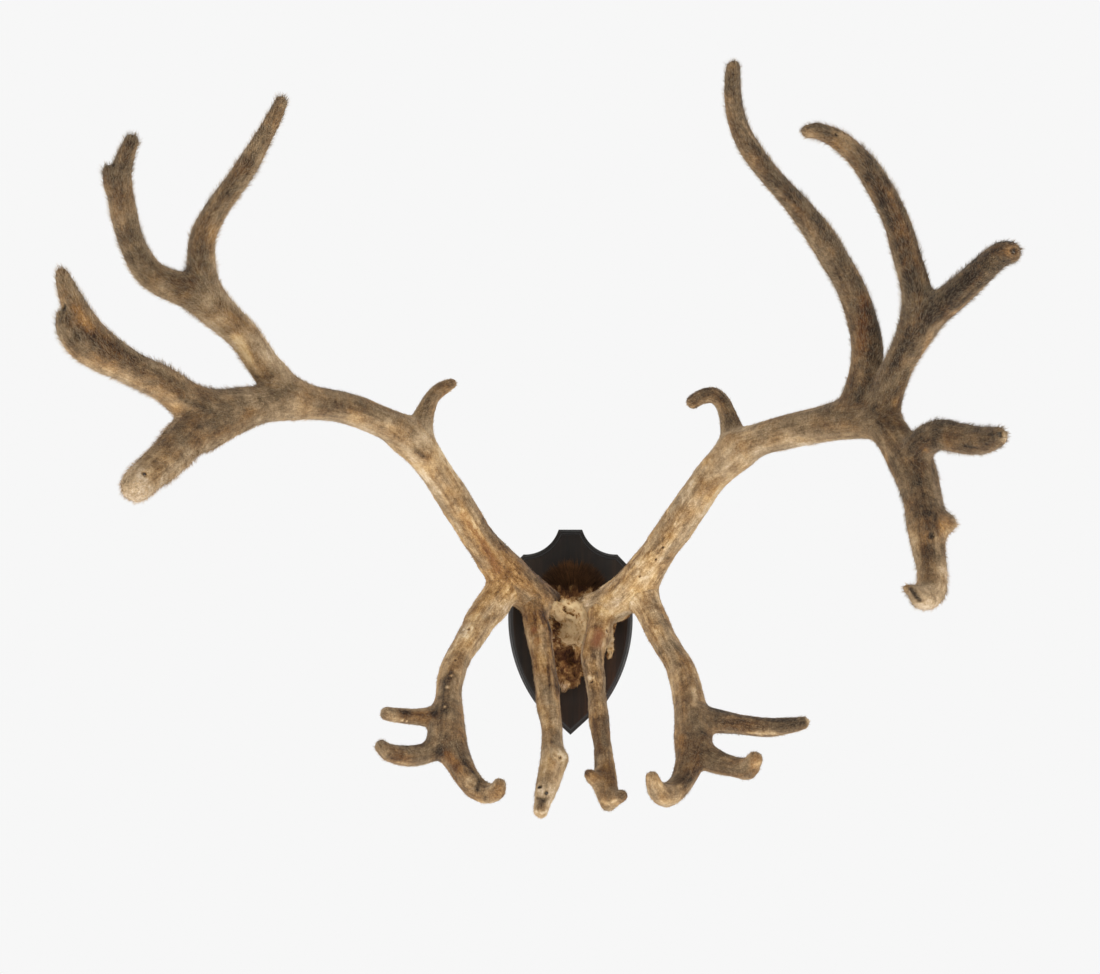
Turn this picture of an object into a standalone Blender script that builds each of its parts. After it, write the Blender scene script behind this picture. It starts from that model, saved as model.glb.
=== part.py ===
"""Caribou antlers in velvet on their hide-covered skull plate, hung on a wooden shield.

Lengths are millimetres until they become mesh coordinates. X runs to the right as seen from the
front, Z upwards, and the front faces -Y. The origin is the centre of the shield's flat back.
"""
import math

import bmesh
import bpy
import numpy as np

MM = 0.001
GAP = 0.3  # clearance between two pieces that touch

# Shield: a flat board with a pointed foot and hollow shoulders
SHIELD_THICKNESS = 22.0
SHIELD_TOP = 144.0
SHIELD_HALF_WIDTH = 87.5
SHIELD_WIDEST_AT = 20.0
TAB_HALF_WIDTH = 16.5
HOLLOW_CENTRE = (64.0, 158.5)
HOLLOW_RADIUS = 49.5
SHOULDER_HALF_WIDTH = 66.0
CLIPPED_CORNER = (80.0, 94.5)
SIDE_ARC_RADIUS = 206.0
SIDE_ENDS_AT = -98.0
EDGE_MOULDING = 7.5

# Hanger plate let into the back of the shield, over a routed pocket for the wall nail's head
PLATE_CENTRE_Z = 104.0
PLATE_LENGTH = 46.0
PLATE_WIDTH = 18.0
PLATE_THICKNESS = 1.6
PLATE_SET_BACK = 0.3
PLATE_SCREW_SPACING = 34.0
NAIL_HEAD_HOLE = 9.0
NAIL_SLOT = 4.6
NAIL_TRAVEL = 11.0
POCKET_LENGTH = 24.0
POCKET_WIDTH = 11.0
POCKET_DEPTH = 10.0

# Countersunk screws: head diameter, shank diameter, length
PLATE_SCREW = (6.4, 3.0, 12.0)
SKULL_SCREW = (10.0, 5.0, 48.0)
SKULL_SCREW_HEIGHTS = (40.0, -24.0)
SKULL_SCREW_SINK = 1.0
SCREW_STEPS = 10

# Skull cap with its hide: height above the shield's centre, middle in X, half width, stand-off
SCALP_BACK = SHIELD_THICKNESS + GAP
SCALP_SECTIONS = [
    (64, 0, 22, 50),
    (58, 0, 44, 70),
    (44, 0, 60, 88),
    (28, 0, 63, 98),
    (12, 0, 57, 105),
    (-2, 0, 49, 106),
    (-14, -1, 42, 96),
    (-25, -2, 34, 70),
    (-38, -3, 28, 56),
    (-52, -5, 24, 51),
    (-66, -6, 19, 45),
    (-77, -6, 13, 38),
    (-83, -7, 6, 29),
]
SCALP_RING_POINTS = 13
SCALP_ROUNDNESS = 0.85
# A strip of torn hide hangs from the right side of the skull cap: x, stand-off, z, half thickness
TORN_HIDE = [(40, 70, 34, 15), (56, 66, 16, 10), (64, 60, 0, 6), (58, 54, -22, 4.5), (54, 50, -36, 3)]

# Crown hair: a fan of locks standing up behind the beams
CROWN_CENTRE = (4.0, 46.0)
CROWN_INNER_RADIUS = 8.0
CROWN_LOCK_LONG = 57.0
CROWN_LOCK_SHORT = 46.0
CROWN_LOCKS = 9
CROWN_SPREAD = math.radians(86)

# Spacing of the rings along a limb, and its number of sides
RING_STEP = 29.0
BEAM_SIDES = 10
TINE_SIDES = 8
SPUR_SIDES = 8
ROUND_TIP_ANGLES = (28, 54, 76)
BLUNT_TIP_ANGLES = (30, 50)
BLUNT_TIP_REACH = 0.3
# The palms are flatter than they are wide
PALM_THICKNESS = 0.8

# Each limb is a list of stations from root to tip: x, stand-off from the wall, z, radius.
# A limb is listed after the one that it grows from, and its root starts inside that one.
LEFT_ANTLER = {
    "left_lower_beam": [(-31, 80, 44, 20.5), (-59, 92, 60, 26), (-86, 108, 85, 27.5), (-117, 130, 124, 22.5),
                        (-138, 145, 155, 21), (-168, 163, 205, 21.5), (-195, 182, 245, 22.5),
                        (-220, 194, 272, 22.5)],
    "left_upper_beam": [(-212, 190, 264, 17.5), (-225, 197, 276, 22), (-247, 208, 289, 21),
                        (-293, 232, 306, 21), (-332, 255, 313, 22.5), (-367, 277, 318, 26)],
    "left_rear_tine": [(-202, 186, 267, 16), (-197, 181, 299, 13.5), (-186, 176, 324, 11.5),
                       (-174, 172, 335, 10.5), (-161, 168, 342, 7.5)],
    "left_crown_stem": [(-364, 277, 322, 18), (-380, 280, 339, 22), (-398, 285, 362, 21.5),
                        (-423, 292, 398, 22), (-452, 300, 426, 23.5), (-474, 307, 447, 24.5)],
    "left_crown_outer_tine": [(-464, 304, 443, 16.5), (-486, 310, 454, 21.5), (-507, 315, 459, 21),
                              (-538, 322, 476, 20), (-558, 330, 511, 18.5), (-569, 338, 552, 17.5),
                              (-569, 346, 591, 15), (-564, 352, 618, 14), (-555, 358, 638, 12)],
    "left_crown_inner_tine": [(-466, 304, 443, 18), (-475, 303, 487, 20), (-473, 302, 525, 18.5),
                              (-452, 304, 564, 17), (-421, 310, 606, 16.5), (-393, 320, 648, 13),
                              (-377, 328, 678, 11.5), (-370, 332, 692, 10)],
    "left_palm_stem": [(-355, 271, 317, 20.5), (-377, 284, 316, 26), (-398, 300, 310, 25.5),
                       (-426, 322, 302, 29.5), (-453, 342, 294, 33)],
    "left_palm_upper_tine": [(-444, 338, 295, 21.5), (-465, 350, 304, 25), (-486, 365, 314, 25),
                             (-516, 385, 336, 23), (-547, 400, 351, 22.5), (-577, 410, 371, 23.5),
                             (-599, 418, 397, 21), (-614, 426, 429, 16), (-623, 432, 454, 12.5),
                             (-626, 434, 465, 9)],
    "left_palm_lower_tine": [(-446, 338, 289, 23), (-464, 354, 276, 27.5), (-483, 380, 265, 27.5),
                             (-500, 420, 238, 25), (-518, 452, 219, 23), (-528, 472, 206, 21.5)],
    "left_brow_tine": [(-52, 96, 52, 16.5), (-45, 120, 10, 17.5), (-38, 155, -35, 16), (-30, 195, -85, 15.5),
                       (-26, 230, -128, 14), (-26, 260, -161, 17), (-33, 282, -184, 15.5),
                       (-38, 298, -200, 11.5), (-40, 308, -210, 10)],
    "left_bez_stem": [(-83, 106, 80, 20.5), (-109, 130, 42, 22.5), (-134, 165, 6, 19.5),
                      (-156, 203, -35, 18.5), (-162, 240, -80, 19.5), (-162, 268, -121, 22.5)],
    "left_bez_upper_prong": [(-159, 250, -94, 13), (-193, 256, -95, 12.5), (-221, 264, -93, 11.5),
                             (-240, 268, -90, 10)],
    "left_bez_lower_prong": [(-163, 268, -120, 15.5), (-187, 284, -139, 14), (-213, 296, -142, 14),
                             (-235, 306, -136, 11.5), (-244, 312, -128, 9)],
    "left_bez_front_prong": [(-161, 262, -114, 17), (-154, 276, -136, 18.5), (-143, 288, -156, 16.5),
                             (-129, 304, -176, 14), (-111, 318, -186, 13), (-97, 330, -182, 12),
                             (-93, 336, -173, 8.5)],
}
RIGHT_ANTLER = {
    "right_lower_beam": [(29, 80, 38, 20.5), (54, 92, 45, 24.5), (83, 108, 66, 27.5), (113, 130, 108, 23.5),
                         (138, 147, 146, 23), (164, 163, 185, 23), (189, 180, 221, 23.5),
                         (219, 197, 252, 24)],
    "right_upper_beam": [(210, 192, 245, 18.5), (227, 200, 257, 22.5), (246, 210, 266, 22),
                         (281, 228, 276, 23), (318, 246, 284, 24), (354, 262, 291, 26), (392, 280, 294, 27)],
    "right_rear_tine": [(220, 190, 253, 16), (210, 182, 292, 13.5), (202, 177, 315, 12.5),
                        (189, 173, 327, 12), (173, 170, 324, 10.5), (163, 168, 318, 9.5)],
    "right_crown_inner_tine": [(360, 264, 293, 19.5), (375, 274, 337, 21.5), (380, 282, 381, 21.5),
                               (371, 288, 425, 20.5), (351, 296, 472, 20), (321, 304, 519, 20),
                               (289, 312, 561, 17), (251, 322, 601, 16), (221, 332, 641, 15),
                               (205, 342, 680, 13.5), (201, 350, 711, 12), (202, 355, 731, 10.5)],
    "right_crown_stem": [(396, 286, 294, 20.5), (407, 300, 331, 21), (417, 312, 362, 21),
                         (431, 324, 391, 23), (442, 333, 418, 24)],
    "right_crown_middle_tine": [(441, 330, 408, 18), (439, 332, 433, 21.5), (435, 331, 456, 20.5),
                                (425, 328, 495, 20), (412, 328, 539, 19.5), (390, 330, 583, 18.5),
                                (365, 334, 620, 16), (334, 340, 644, 14), (307, 344, 654, 11.5),
                                (297, 346, 653, 10)],
    "right_crown_outer_tine": [(441, 330, 413, 19), (469, 352, 436, 21.5), (491, 378, 456, 20),
                               (511, 402, 476, 18.5), (527, 424, 490, 17), (535, 432, 491, 15.5)],
    "right_palm_stem": [(396, 284, 293, 22), (418, 312, 256, 25.5), (432, 334, 227, 28),
                        (439, 356, 191, 25.5), (441, 374, 163, 23.5)],
    "right_palm_side_tine": [(431, 330, 233, 16.5), (440, 348, 258, 20), (460, 366, 269, 21),
                             (484, 392, 264, 20), (504, 416, 262, 18.5), (518, 436, 265, 14)],
    "right_palm_lower_tine": [(441, 368, 173, 17.5), (442, 380, 148, 22.5), (442, 390, 123, 21),
                              (444, 402, 99, 20), (440, 418, 76, 20.5), (428, 434, 69, 16),
                              (415, 446, 76, 10), (407, 452, 80, 7)],
    "right_brow_tine": [(45, 96, 38, 16.5), (35, 122, 2, 17), (29, 150, -31, 15), (33, 180, -69, 14.5),
                        (37, 210, -106, 14.5), (42, 240, -142, 13), (44, 266, -173, 13.5),
                        (45, 284, -193, 12), (46, 292, -202, 10.5)],
    "right_bez_stem": [(89, 108, 72, 20.5), (111, 134, 27, 20.5), (129, 162, -9, 18.5),
                       (147, 190, -42, 19.5), (155, 222, -79, 21), (157, 254, -119, 22)],
    "right_bez_long_prong": [(155, 236, -93, 14.5), (185, 248, -100, 15.5), (218, 258, -104, 13.5),
                             (253, 270, -107, 13), (281, 280, -104, 11.5), (297, 286, -100, 9.5)],
    "right_bez_lower_prong": [(156, 260, -130, 15.5), (183, 282, -149, 16.5), (207, 298, -154, 14.5),
                              (224, 312, -155, 14), (232, 322, -142, 10.5)],
    "right_bez_front_prong": [(158, 250, -111, 17), (155, 266, -134, 20), (149, 280, -156, 18),
                              (139, 298, -177, 16), (120, 318, -188, 16), (106, 334, -179, 12.5),
                              (101, 342, -165, 9.5)],
}
# Knobs and short second points, grown together with the limb that carries them
SPURS = {
    "left_crown_outer_tine": [[(-566, 340, 556, 10), (-582, 350, 582, 9.5), (-585, 358, 602, 7.5)]],
    "left_palm_upper_tine": [[(-580, 410, 362, 17), (-608, 422, 376, 16), (-622, 432, 398, 13),
                              (-626, 440, 414, 7.5)]],
    "left_brow_tine": [[(-27, 240, -138, 10.5), (-16, 262, -148, 11.5)]],
    "left_bez_front_prong": [[(-149, 284, -146, 11), (-137, 304, -161, 11.5), (-128, 316, -171, 9.5)]],
    "right_palm_lower_tine": [[(444, 374, 160, 15), (465, 380, 159, 13.5)]],
    "right_brow_tine": [[(43, 270, -178, 10.5), (31, 282, -174, 9.5), (23, 292, -166, 7.5)],
                        [(45, 284, -193, 10), (56, 296, -194, 9.5), (63, 304, -191, 7.5)]],
}
# Limbs that end at a fork are cut blunt there, and the next limbs go on from the cut
BLUNT_LIMBS = {
    "left_lower_beam", "left_upper_beam", "left_crown_stem", "left_palm_stem", "left_bez_stem",
    "right_lower_beam", "right_upper_beam", "right_crown_stem", "right_palm_stem", "right_bez_stem",
}
PALM_LIMBS = {"left_palm_stem", "right_palm_stem"}

# Colours as seen, and how rough and metallic each surface is
FINISHES = {
    "velvet": ((0.42, 0.29, 0.17), 0.95, 0.0),
    "hide": ((0.48, 0.35, 0.22), 0.95, 0.0),
    "hair": ((0.07, 0.04, 0.025), 0.9, 0.0),
    "wood": ((0.022, 0.014, 0.010), 0.45, 0.0),
    "steel": ((0.55, 0.55, 0.56), 0.35, 1.0),
}


def clear_scene():
    """Removes whatever the start-up file holds."""
    for item in list(bpy.data.objects):
        bpy.data.objects.remove(item, do_unlink=True)


def make_collection(name):
    """A new collection under the scene's own."""
    collection = bpy.data.collections.new(name)
    bpy.context.scene.collection.children.link(collection)
    return collection


def make_material(name):
    """A Principled material in the finish of that name."""
    colour, roughness, metallic = FINISHES[name]
    material = bpy.data.materials.new(name)
    material.use_nodes = True
    shader = material.node_tree.nodes["Principled BSDF"]
    shader.inputs["Base Color"].default_value = (*colour, 1.0)
    shader.inputs["Roughness"].default_value = roughness
    shader.inputs["Metallic"].default_value = metallic
    return material


def place_part(name, mesh, finish):
    """A visible piece in the parts collection, smooth where it is round."""
    part = bpy.data.objects.new(name, mesh)
    parts.objects.link(part)
    mesh.materials.append(materials[finish])
    mesh.shade_smooth()
    mesh.set_sharp_from_angle(angle=math.radians(35))
    return part


def place_cutter(name, mesh):
    """A helper shape that is only cut away from, or joined to, a visible piece."""
    cutter = bpy.data.objects.new(name, mesh)
    cutters.objects.link(cutter)
    cutter.hide_render = True
    cutter.display_type = "WIRE"
    return cutter


def boolean(part, operation, other):
    """Cuts the other shape away from the part, or joins it on."""
    modifier = part.modifiers.new(operation.title(), "BOOLEAN")
    modifier.operation = operation
    modifier.solver = "EXACT"
    modifier.object = other


def smooth_path(stations, step):
    """Rings about a step apart on a Catmull-Rom curve through the stations, radius included."""
    knots = np.array(stations, float)
    before = 2 * knots[0] - knots[1]
    after = 2 * knots[-1] - knots[-2]
    knots = np.vstack([before, knots, after])
    rows = []
    for a, b, c, d in zip(knots, knots[1:], knots[2:], knots[3:]):
        count = max(1, round(float(np.linalg.norm(c[:3] - b[:3])) / step))
        for t in np.arange(count) / count:
            linear = (c - a) * t
            square = (2 * a - 5 * b + 4 * c - d) * t ** 2
            cube = (3 * b - a - 3 * c + d) * t ** 3
            rows.append(b + 0.5 * (linear + square + cube))
    rows.append(knots[-2])
    return np.array(rows)


def add_tip(rows, angles, reach):
    """Closes a limb: the radius shrinks with the cosine of each angle, the place moves on with its sine."""
    end = rows[-1, :3]
    radius = rows[-1, 3]
    onward = end - rows[-2, :3]
    onward /= np.linalg.norm(onward)
    tip = [[*(end + onward * radius * reach * math.sin(math.radians(a))), radius * math.cos(math.radians(a))]
           for a in angles]
    return np.vstack([rows, tip])


def limb_rows(stations, blunt, grow):
    """The limb's rings from root to tip, grown all round and past its end by the amount grow."""
    rows = smooth_path(stations, RING_STEP)
    onward = rows[-1, :3] - rows[-2, :3]
    rows[-1, :3] += onward / np.linalg.norm(onward) * grow
    rows[:, 3] += grow
    if blunt:
        return add_tip(rows, BLUNT_TIP_ANGLES, BLUNT_TIP_REACH)
    return add_tip(rows, ROUND_TIP_ANGLES, 1.0)


def tube_mesh(name, rows, sides, thickness=1.0):
    """A closed tube along the rings, flattened front to back where its thickness is under 1."""
    points = np.column_stack([rows[:, 0], -rows[:, 1], rows[:, 2]]) * MM
    curve = bpy.data.curves.new(name, "CURVE")
    curve.dimensions = "3D"
    curve.bevel_depth = MM
    curve.bevel_resolution = (sides - 4) // 2
    curve.use_fill_caps = True
    spline = curve.splines.new("POLY")
    spline.points.add(len(rows) - 1)
    for point, place, radius in zip(spline.points, points, rows[:, 3]):
        point.co = (*place, 1.0)
        point.radius = radius
    route = bpy.data.objects.new(name, curve)
    bpy.context.scene.collection.objects.link(route)
    evaluated = route.evaluated_get(bpy.context.evaluated_depsgraph_get())
    mesh = bpy.data.meshes.new_from_object(evaluated)
    bpy.data.objects.remove(route)
    bpy.data.curves.remove(curve)
    shape = bmesh.new()
    shape.from_mesh(mesh)
    bmesh.ops.remove_doubles(shape, verts=shape.verts, dist=1e-6)
    for vertex in shape.verts:
        nearest = points[np.argmin(np.linalg.norm(points - np.array(vertex.co), axis=1))]
        vertex.co.y = nearest[1] + (vertex.co.y - nearest[1]) * thickness
    bmesh.ops.recalc_face_normals(shape, faces=shape.faces)
    shape.to_mesh(mesh)
    shape.free()
    mesh.name = name
    return mesh


def limb_mesh(name, stations, grow=0.0):
    """A limb's tube, or the slightly larger one that makes room for it in its neighbours."""
    sides = BEAM_SIDES if "beam" in name or "stem" in name else TINE_SIDES
    thickness = PALM_THICKNESS if name in PALM_LIMBS else 1.0
    rows = limb_rows(stations, name in BLUNT_LIMBS, grow)
    return tube_mesh(name + ("_room" if grow else ""), rows, sides, thickness)


def boxes_meet(a, b):
    """Whether the upright boxes round two meshes overlap."""
    low_a, high_a = mesh_box(a)
    low_b, high_b = mesh_box(b)
    return bool(np.all(low_a <= high_b) and np.all(low_b <= high_a))


def mesh_box(mesh):
    """Lowest and highest corner of a mesh."""
    places = np.empty(len(mesh.vertices) * 3)
    mesh.vertices.foreach_get("co", places)
    places = places.reshape(-1, 3)
    return places.min(axis=0), places.max(axis=0)


def make_antler(limbs):
    """The limbs of one antler, each cut back to the surface of those that it grows from."""
    rooms = []
    for name, stations in limbs.items():
        limb = place_part(name, limb_mesh(name, stations), "velvet")
        for number, spur in enumerate(SPURS.get(name, [])):
            rows = add_tip(smooth_path(spur, RING_STEP), ROUND_TIP_ANGLES, 1.0)
            knob = place_cutter(f"{name}_spur_{number}", tube_mesh(f"{name}_spur_{number}", rows, SPUR_SIDES))
            boolean(limb, "UNION", knob)
        for room in rooms:
            if boxes_meet(limb.data, room.data):
                boolean(limb, "DIFFERENCE", room)
        rooms.append(place_cutter(name + "_room", limb_mesh(name, stations, GAP)))
    return {room.name.removesuffix("_room"): room for room in rooms}


def loft_mesh(name, rings):
    """A closed skin over a list of rings with the same number of points, capped at both ends."""
    shape = bmesh.new()
    loops = [[shape.verts.new((x * MM, -out * MM, z * MM)) for x, out, z in ring] for ring in rings]
    count = len(loops[0])
    for first, second in zip(loops, loops[1:]):
        for i in range(count):
            j = (i + 1) % count
            shape.faces.new((first[i], first[j], second[j], second[i]))
    shape.faces.new(loops[0])
    shape.faces.new(loops[-1])
    bmesh.ops.recalc_face_normals(shape, faces=shape.faces)
    mesh = bpy.data.meshes.new(name)
    shape.to_mesh(mesh)
    shape.free()
    return mesh


def scalp_ring(height, middle, half_width, stand_off, grow):
    """Half a superellipse standing on the shield: width across, stand-off outwards."""
    turns = np.linspace(0, math.pi, SCALP_RING_POINTS)
    across = np.sign(np.cos(turns)) * np.abs(np.cos(turns)) ** SCALP_ROUNDNESS
    outward = np.abs(np.sin(turns)) ** SCALP_ROUNDNESS
    return [(middle + a * (half_width + grow), SCALP_BACK + b * (stand_off - SCALP_BACK + grow), height)
            for a, b in zip(across, outward)]


def scalp_mesh(name, grow=0.0):
    """The hide-covered skull cap, flat against the shield and domed to the front."""
    rings = [scalp_ring(*section, grow) for section in SCALP_SECTIONS]
    return loft_mesh(name, rings)


def make_scalp(rooms):
    """Skull cap with room for the beams and brow tines that grow out of it."""
    scalp = place_part("scalp", scalp_mesh("scalp"), "hide")
    rows = add_tip(smooth_path(TORN_HIDE, RING_STEP), ROUND_TIP_ANGLES, 1.0)
    boolean(scalp, "UNION", place_cutter("torn_hide", tube_mesh("torn_hide", rows, SPUR_SIDES)))
    for limb in ("brow_tine", "bez_stem", "lower_beam"):
        for side in ("left", "right"):
            boolean(scalp, "DIFFERENCE", rooms[f"{side}_{limb}"])
    return scalp


def make_crown_hair(rooms):
    """A fan of locks: every other section reaches further out, and all thin towards their tips."""
    rings = []
    sections = 2 * CROWN_LOCKS + 1
    for number in range(sections):
        angle = CROWN_SPREAD * (2 * number / (sections - 1) - 1)
        reach = CROWN_LOCK_LONG if number % 2 else CROWN_LOCK_SHORT
        profile = [(CROWN_INNER_RADIUS, SCALP_BACK), (reach, SCALP_BACK), (reach, SCALP_BACK + 6),
                   (0.62 * reach, SCALP_BACK + 26), (CROWN_INNER_RADIUS, SCALP_BACK + 42)]
        rings.append([(CROWN_CENTRE[0] + radius * math.sin(angle), out,
                       CROWN_CENTRE[1] + radius * math.cos(angle)) for radius, out in profile])
    hair = place_part("crown_hair", loft_mesh("crown_hair", rings), "hair")
    boolean(hair, "DIFFERENCE", place_cutter("scalp_room", scalp_mesh("scalp_room", GAP)))
    for name in ("left_lower_beam", "right_lower_beam"):
        boolean(hair, "DIFFERENCE", rooms[name])
    return hair


def arc(centre, radius, start, end, count):
    """Points on a circle from one angle to another, both ends included."""
    return [(centre[0] + radius * math.cos(a), centre[1] + radius * math.sin(a))
            for a in np.linspace(start, end, count)]


def half_outline():
    """The shield's right edge from the tab's top corner down to the foot."""
    hollow_x, hollow_z = HOLLOW_CENTRE
    drop = hollow_z - SHIELD_TOP
    start = -math.pi + math.asin(drop / HOLLOW_RADIUS)
    hollow = arc(HOLLOW_CENTRE, HOLLOW_RADIUS, start, -math.pi / 2, 7)
    points = [(TAB_HALF_WIDTH, SHIELD_TOP), *hollow[1:], (SHOULDER_HALF_WIDTH, hollow[-1][1])]
    rise = CLIPPED_CORNER[1] - SHIELD_WIDEST_AT
    inset = SHIELD_HALF_WIDTH - CLIPPED_CORNER[0]
    upper_radius = (rise ** 2 + inset ** 2) / (2 * inset)
    upper_centre = (SHIELD_HALF_WIDTH - upper_radius, SHIELD_WIDEST_AT)
    points += arc(upper_centre, upper_radius, math.asin(rise / upper_radius), 0, 4)
    lower_centre = (SHIELD_HALF_WIDTH - SIDE_ARC_RADIUS, SHIELD_WIDEST_AT)
    fall = math.asin((SIDE_ENDS_AT - SHIELD_WIDEST_AT) / SIDE_ARC_RADIUS)
    points += arc(lower_centre, SIDE_ARC_RADIUS, 0, fall, 7)[1:]
    return points


def prism_mesh(name, outline, front, back):
    """A flat outline in X and Z, filled and given depth from one stand-off to another."""
    shape = bmesh.new()
    loop = [shape.verts.new((x * MM, -back * MM, z * MM)) for x, z in outline]
    face = shape.faces.new(loop)
    grown = bmesh.ops.extrude_face_region(shape, geom=[face])
    moved = [item for item in grown["geom"] if isinstance(item, bmesh.types.BMVert)]
    bmesh.ops.translate(shape, verts=moved, vec=(0, -(front - back) * MM, 0))
    bmesh.ops.recalc_face_normals(shape, faces=shape.faces)
    mesh = bpy.data.meshes.new(name)
    shape.to_mesh(mesh)
    shape.free()
    return mesh


def stadium(length, width, centre_z):
    """An upright slot shape with round ends."""
    offset = (length - width) / 2
    top = arc((0, centre_z + offset), width / 2, 0, math.pi, 6)
    foot = arc((0, centre_z - offset), width / 2, math.pi, 2 * math.pi, 6)
    return top + foot


def screw_part(name, sizes, place, sink, grow=0.0):
    """A countersunk screw turned about its own axis, head flush with the back of the board."""
    head, shank, length = sizes
    head_radius = head / 2 + grow
    shank_radius = shank / 2 + grow
    cone = head_radius - shank_radius
    profile = [(0, grow), (head_radius, grow), (head_radius, -0.6), (shank_radius, -0.6 - cone),
               (shank_radius, -length + 2 * shank_radius), (0, -length - grow)]
    mesh = bpy.data.meshes.new(name)
    mesh.from_pydata([(x * MM, 0, z * MM) for x, z in profile],
                     [(i, i + 1) for i in range(len(profile) - 1)], [])
    screw = place_cutter(name, mesh) if grow else place_part(name, mesh, "steel")
    turn = screw.modifiers.new("Turn", "SCREW")
    turn.steps = SCREW_STEPS
    turn.render_steps = SCREW_STEPS
    turn.use_merge_vertices = True
    turn.merge_threshold = 1e-5
    screw.rotation_euler = (-math.pi / 2, 0, 0)
    screw.location = (place[0] * MM, -sink * MM, place[1] * MM)
    return screw


def cut_slot(screw, head):
    """A straight driver slot across the screw's head."""
    width = 1.0
    depth = 1.1
    place_x = screw.location.x / MM
    place_z = screw.location.z / MM
    top = -screw.location.y / MM
    outline = [(place_x - head, place_z - width / 2), (place_x + head, place_z - width / 2),
               (place_x + head, place_z + width / 2), (place_x - head, place_z + width / 2)]
    slot = prism_mesh(screw.name + "_slot", outline, top + depth, top - depth)
    boolean(screw, "DIFFERENCE", place_cutter(screw.name + "_slot", slot))


def make_screw(name, sizes, place, sink, holes_in):
    """A screw with its slot, and a hole for it in each piece that it passes through."""
    screw = screw_part(name, sizes, place, sink)
    cut_slot(screw, sizes[0])
    room = screw_part(name + "_hole", sizes, place, sink, GAP)
    for piece in holes_in:
        boolean(piece, "DIFFERENCE", room)


def make_shield():
    """The board, its front edge worked to a hollow moulding, with the hanger's recess and pocket."""
    right = half_outline()
    left = [(-x, z) for x, z in reversed(right)]
    outline = right + [(0, -SHIELD_TOP)] + left
    mesh = prism_mesh("shield", outline, SHIELD_THICKNESS, 0)
    weights = mesh.attributes.new("bevel_weight_edge", "FLOAT", "EDGE")
    for edge in mesh.edges:
        ends = [mesh.vertices[i].co.y for i in edge.vertices]
        weights.data[edge.index].value = 1.0 if max(ends) < -0.5 * SHIELD_THICKNESS * MM else 0.0
    shield = place_part("shield", mesh, "wood")
    moulding = shield.modifiers.new("Moulding", "BEVEL")
    moulding.limit_method = "WEIGHT"
    moulding.width = EDGE_MOULDING * MM
    moulding.segments = 3
    moulding.profile = 0.3
    recess = stadium(PLATE_LENGTH + 2 * GAP, PLATE_WIDTH + 2 * GAP, PLATE_CENTRE_Z)
    recess_depth = PLATE_SET_BACK + PLATE_THICKNESS + GAP
    boolean(shield, "DIFFERENCE", place_cutter("recess", prism_mesh("recess", recess, recess_depth, -5)))
    pocket = stadium(POCKET_LENGTH, POCKET_WIDTH, PLATE_CENTRE_Z)
    boolean(shield, "DIFFERENCE", place_cutter("pocket", prism_mesh("pocket", pocket, POCKET_DEPTH, -5)))
    return shield


def make_hanger():
    """The steel plate: a round hole lets the nail's head in, and the slot above it holds the shank."""
    front = PLATE_SET_BACK + PLATE_THICKNESS
    outline = stadium(PLATE_LENGTH, PLATE_WIDTH, PLATE_CENTRE_Z)
    plate = place_part("hanger_plate", prism_mesh("hanger_plate", outline, front, PLATE_SET_BACK), "steel")
    head_z = PLATE_CENTRE_Z - NAIL_TRAVEL / 2
    head_hole = arc((0, head_z), NAIL_HEAD_HOLE / 2, 0, 2 * math.pi, 11)[:-1]
    boolean(plate, "DIFFERENCE", place_cutter("head_hole", prism_mesh("head_hole", head_hole, front + 2, -2)))
    slot = stadium(NAIL_TRAVEL + NAIL_SLOT, NAIL_SLOT, PLATE_CENTRE_Z)
    boolean(plate, "DIFFERENCE", place_cutter("nail_slot", prism_mesh("nail_slot", slot, front + 3, -3)))
    return plate


clear_scene()
parts = make_collection("caribou_antler_mount")
cutters = make_collection("cutters")
materials = {name: make_material(name) for name in FINISHES}

rooms = make_antler(LEFT_ANTLER) | make_antler(RIGHT_ANTLER)
scalp = make_scalp(rooms)
make_crown_hair(rooms)
shield = make_shield()
hanger = make_hanger()
for label, side in (("upper", 1), ("lower", -1)):
    height = PLATE_CENTRE_Z + side * PLATE_SCREW_SPACING / 2
    make_screw(f"{label}_hanger_screw", PLATE_SCREW, (0, height), PLATE_SET_BACK, (hanger, shield))
for label, height in zip(("upper", "lower"), SKULL_SCREW_HEIGHTS):
    make_screw(f"{label}_skull_screw", SKULL_SCREW, (0, height), SKULL_SCREW_SINK, (shield, scalp))
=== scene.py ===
# %% [markdown]
# # Caribou antlers in velvet on a dark shield
#
# Caribou grow new antlers every summer under a living skin with short, dense hair: the velvet. This pair was
# taken in velvet. It still stands on a piece of the skull with its hide, and is screwed to a small wooden
# shield that hangs on a wall.
#
# The construction is packed already and comes in as a fixed frame: one plain solid for each limb, the skull
# cap, the crown hair, the shield and its hanger. Everything below is dressed around it in the same frame:
# X to the right, Z up, the front facing -Y, and the origin in the middle of the shield's back. Lengths are
# written in millimetres and turned into metres when they go into a mesh.

# %% The frame
import math

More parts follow.
